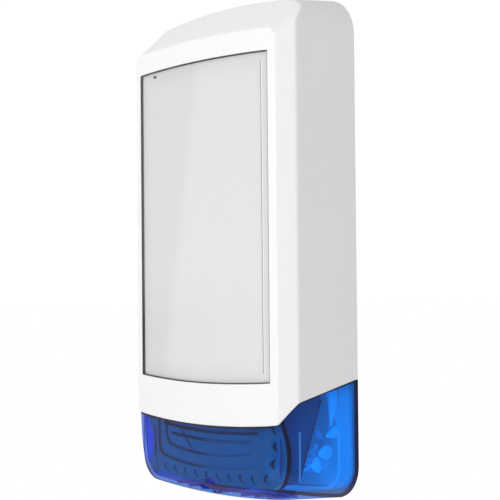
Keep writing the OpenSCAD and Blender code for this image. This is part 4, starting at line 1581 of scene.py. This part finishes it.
# The direction of the studio's dark end, as x and y
DARK_END = (0.79, 0.61)
# The key light's power, width and place in metres
KEY_POWER = 14.5
KEY_SIZE = 1.3
KEY_PLACE = Vector((0.45, -1.65, 0.3))


def make_world():
    """White behind the object, and a softer, slightly graded light on it."""
    world = bpy.data.worlds.new("studio")
    bpy.context.scene.world = world
    tree = Tree(world)
    parts = tree.axes(tree.add("TexCoord").outputs["Generated"])
    height = tree.math("MULTIPLY_ADD", parts["Z"], 0.5, 0.5)
    grade = tree.ramp(height, [(0.3, grey(0.80)), (0.55, grey(0.70)), (1.0, grey(0.60))])
    # Mirror-like reflections fall off to the right and behind, where the studio is dark
    along = tree.math("MULTIPLY_ADD", parts["Y"], DARK_END[1], tree.times(parts["X"], DARK_END[0]))
    turned = tree.math("MULTIPLY_ADD", along, 0.5, 0.5)
    studio = tree.ramp(turned, [(0.0, grey(1.6)), (0.45, grey(0.55)), (0.9, grey(0.03))])
    path = tree.add("LightPath").outputs
    lit = tree.add("Background", Color=tree.mix(path["Is Glossy Ray"], grade, studio), Strength=WORLD_LIGHT)
    seen = tree.add("Background", Color=grey(1), Strength=BACKDROP)
    mixed = tree.mix_shader(path["Is Camera Ray"], lit, seen)
    tree.feed(tree.add("OutputWorld").inputs[0], mixed.outputs[0])


def make_key_light():
    light = bpy.data.lights.new("key", "AREA")
    light.shape = "DISK"
    light.size = KEY_SIZE
    light.energy = KEY_POWER
    key = bpy.data.objects.new("key", light)
    bpy.context.scene.collection.objects.link(key)
    key.location = KEY_PLACE
    key.rotation_euler = (-KEY_PLACE).to_track_quat("-Z", "Y").to_euler()


def make_camera():
    """The camera stands at the object's right front, a little below its middle."""
    data = bpy.data.cameras.new("camera")
    data.lens = CAMERA_LENS
    data.sensor_width = 36
    data.clip_end = 200
    camera = bpy.data.objects.new("camera", data)
    bpy.context.scene.collection.objects.link(camera)
    turn = Matrix.Rotation(CAMERA_YAW, 4, "Z") @ Matrix.Rotation(math.pi / 2 + CAMERA_PITCH, 4, "X")
    turn = turn @ Matrix.Rotation(-CAMERA_ROLL, 4, "Z")
    camera.matrix_world = Matrix.Translation(AIM) @ turn @ Matrix.Translation((0, 0, CAMERA_DISTANCE))
    bpy.context.scene.camera = camera


make_cover()
make_cover_fittings()
make_insert()
make_window()
make_lens()
make_lens_ears()
make_reflector()
make_strobe_lights()
make_plate_margin()
make_gussets()
make_strobe_wire()
dress_kept_nodes()
make_floor()
make_world()
make_key_light()
make_camera()
bpy.context.scene.view_settings.view_transform = "Standard"
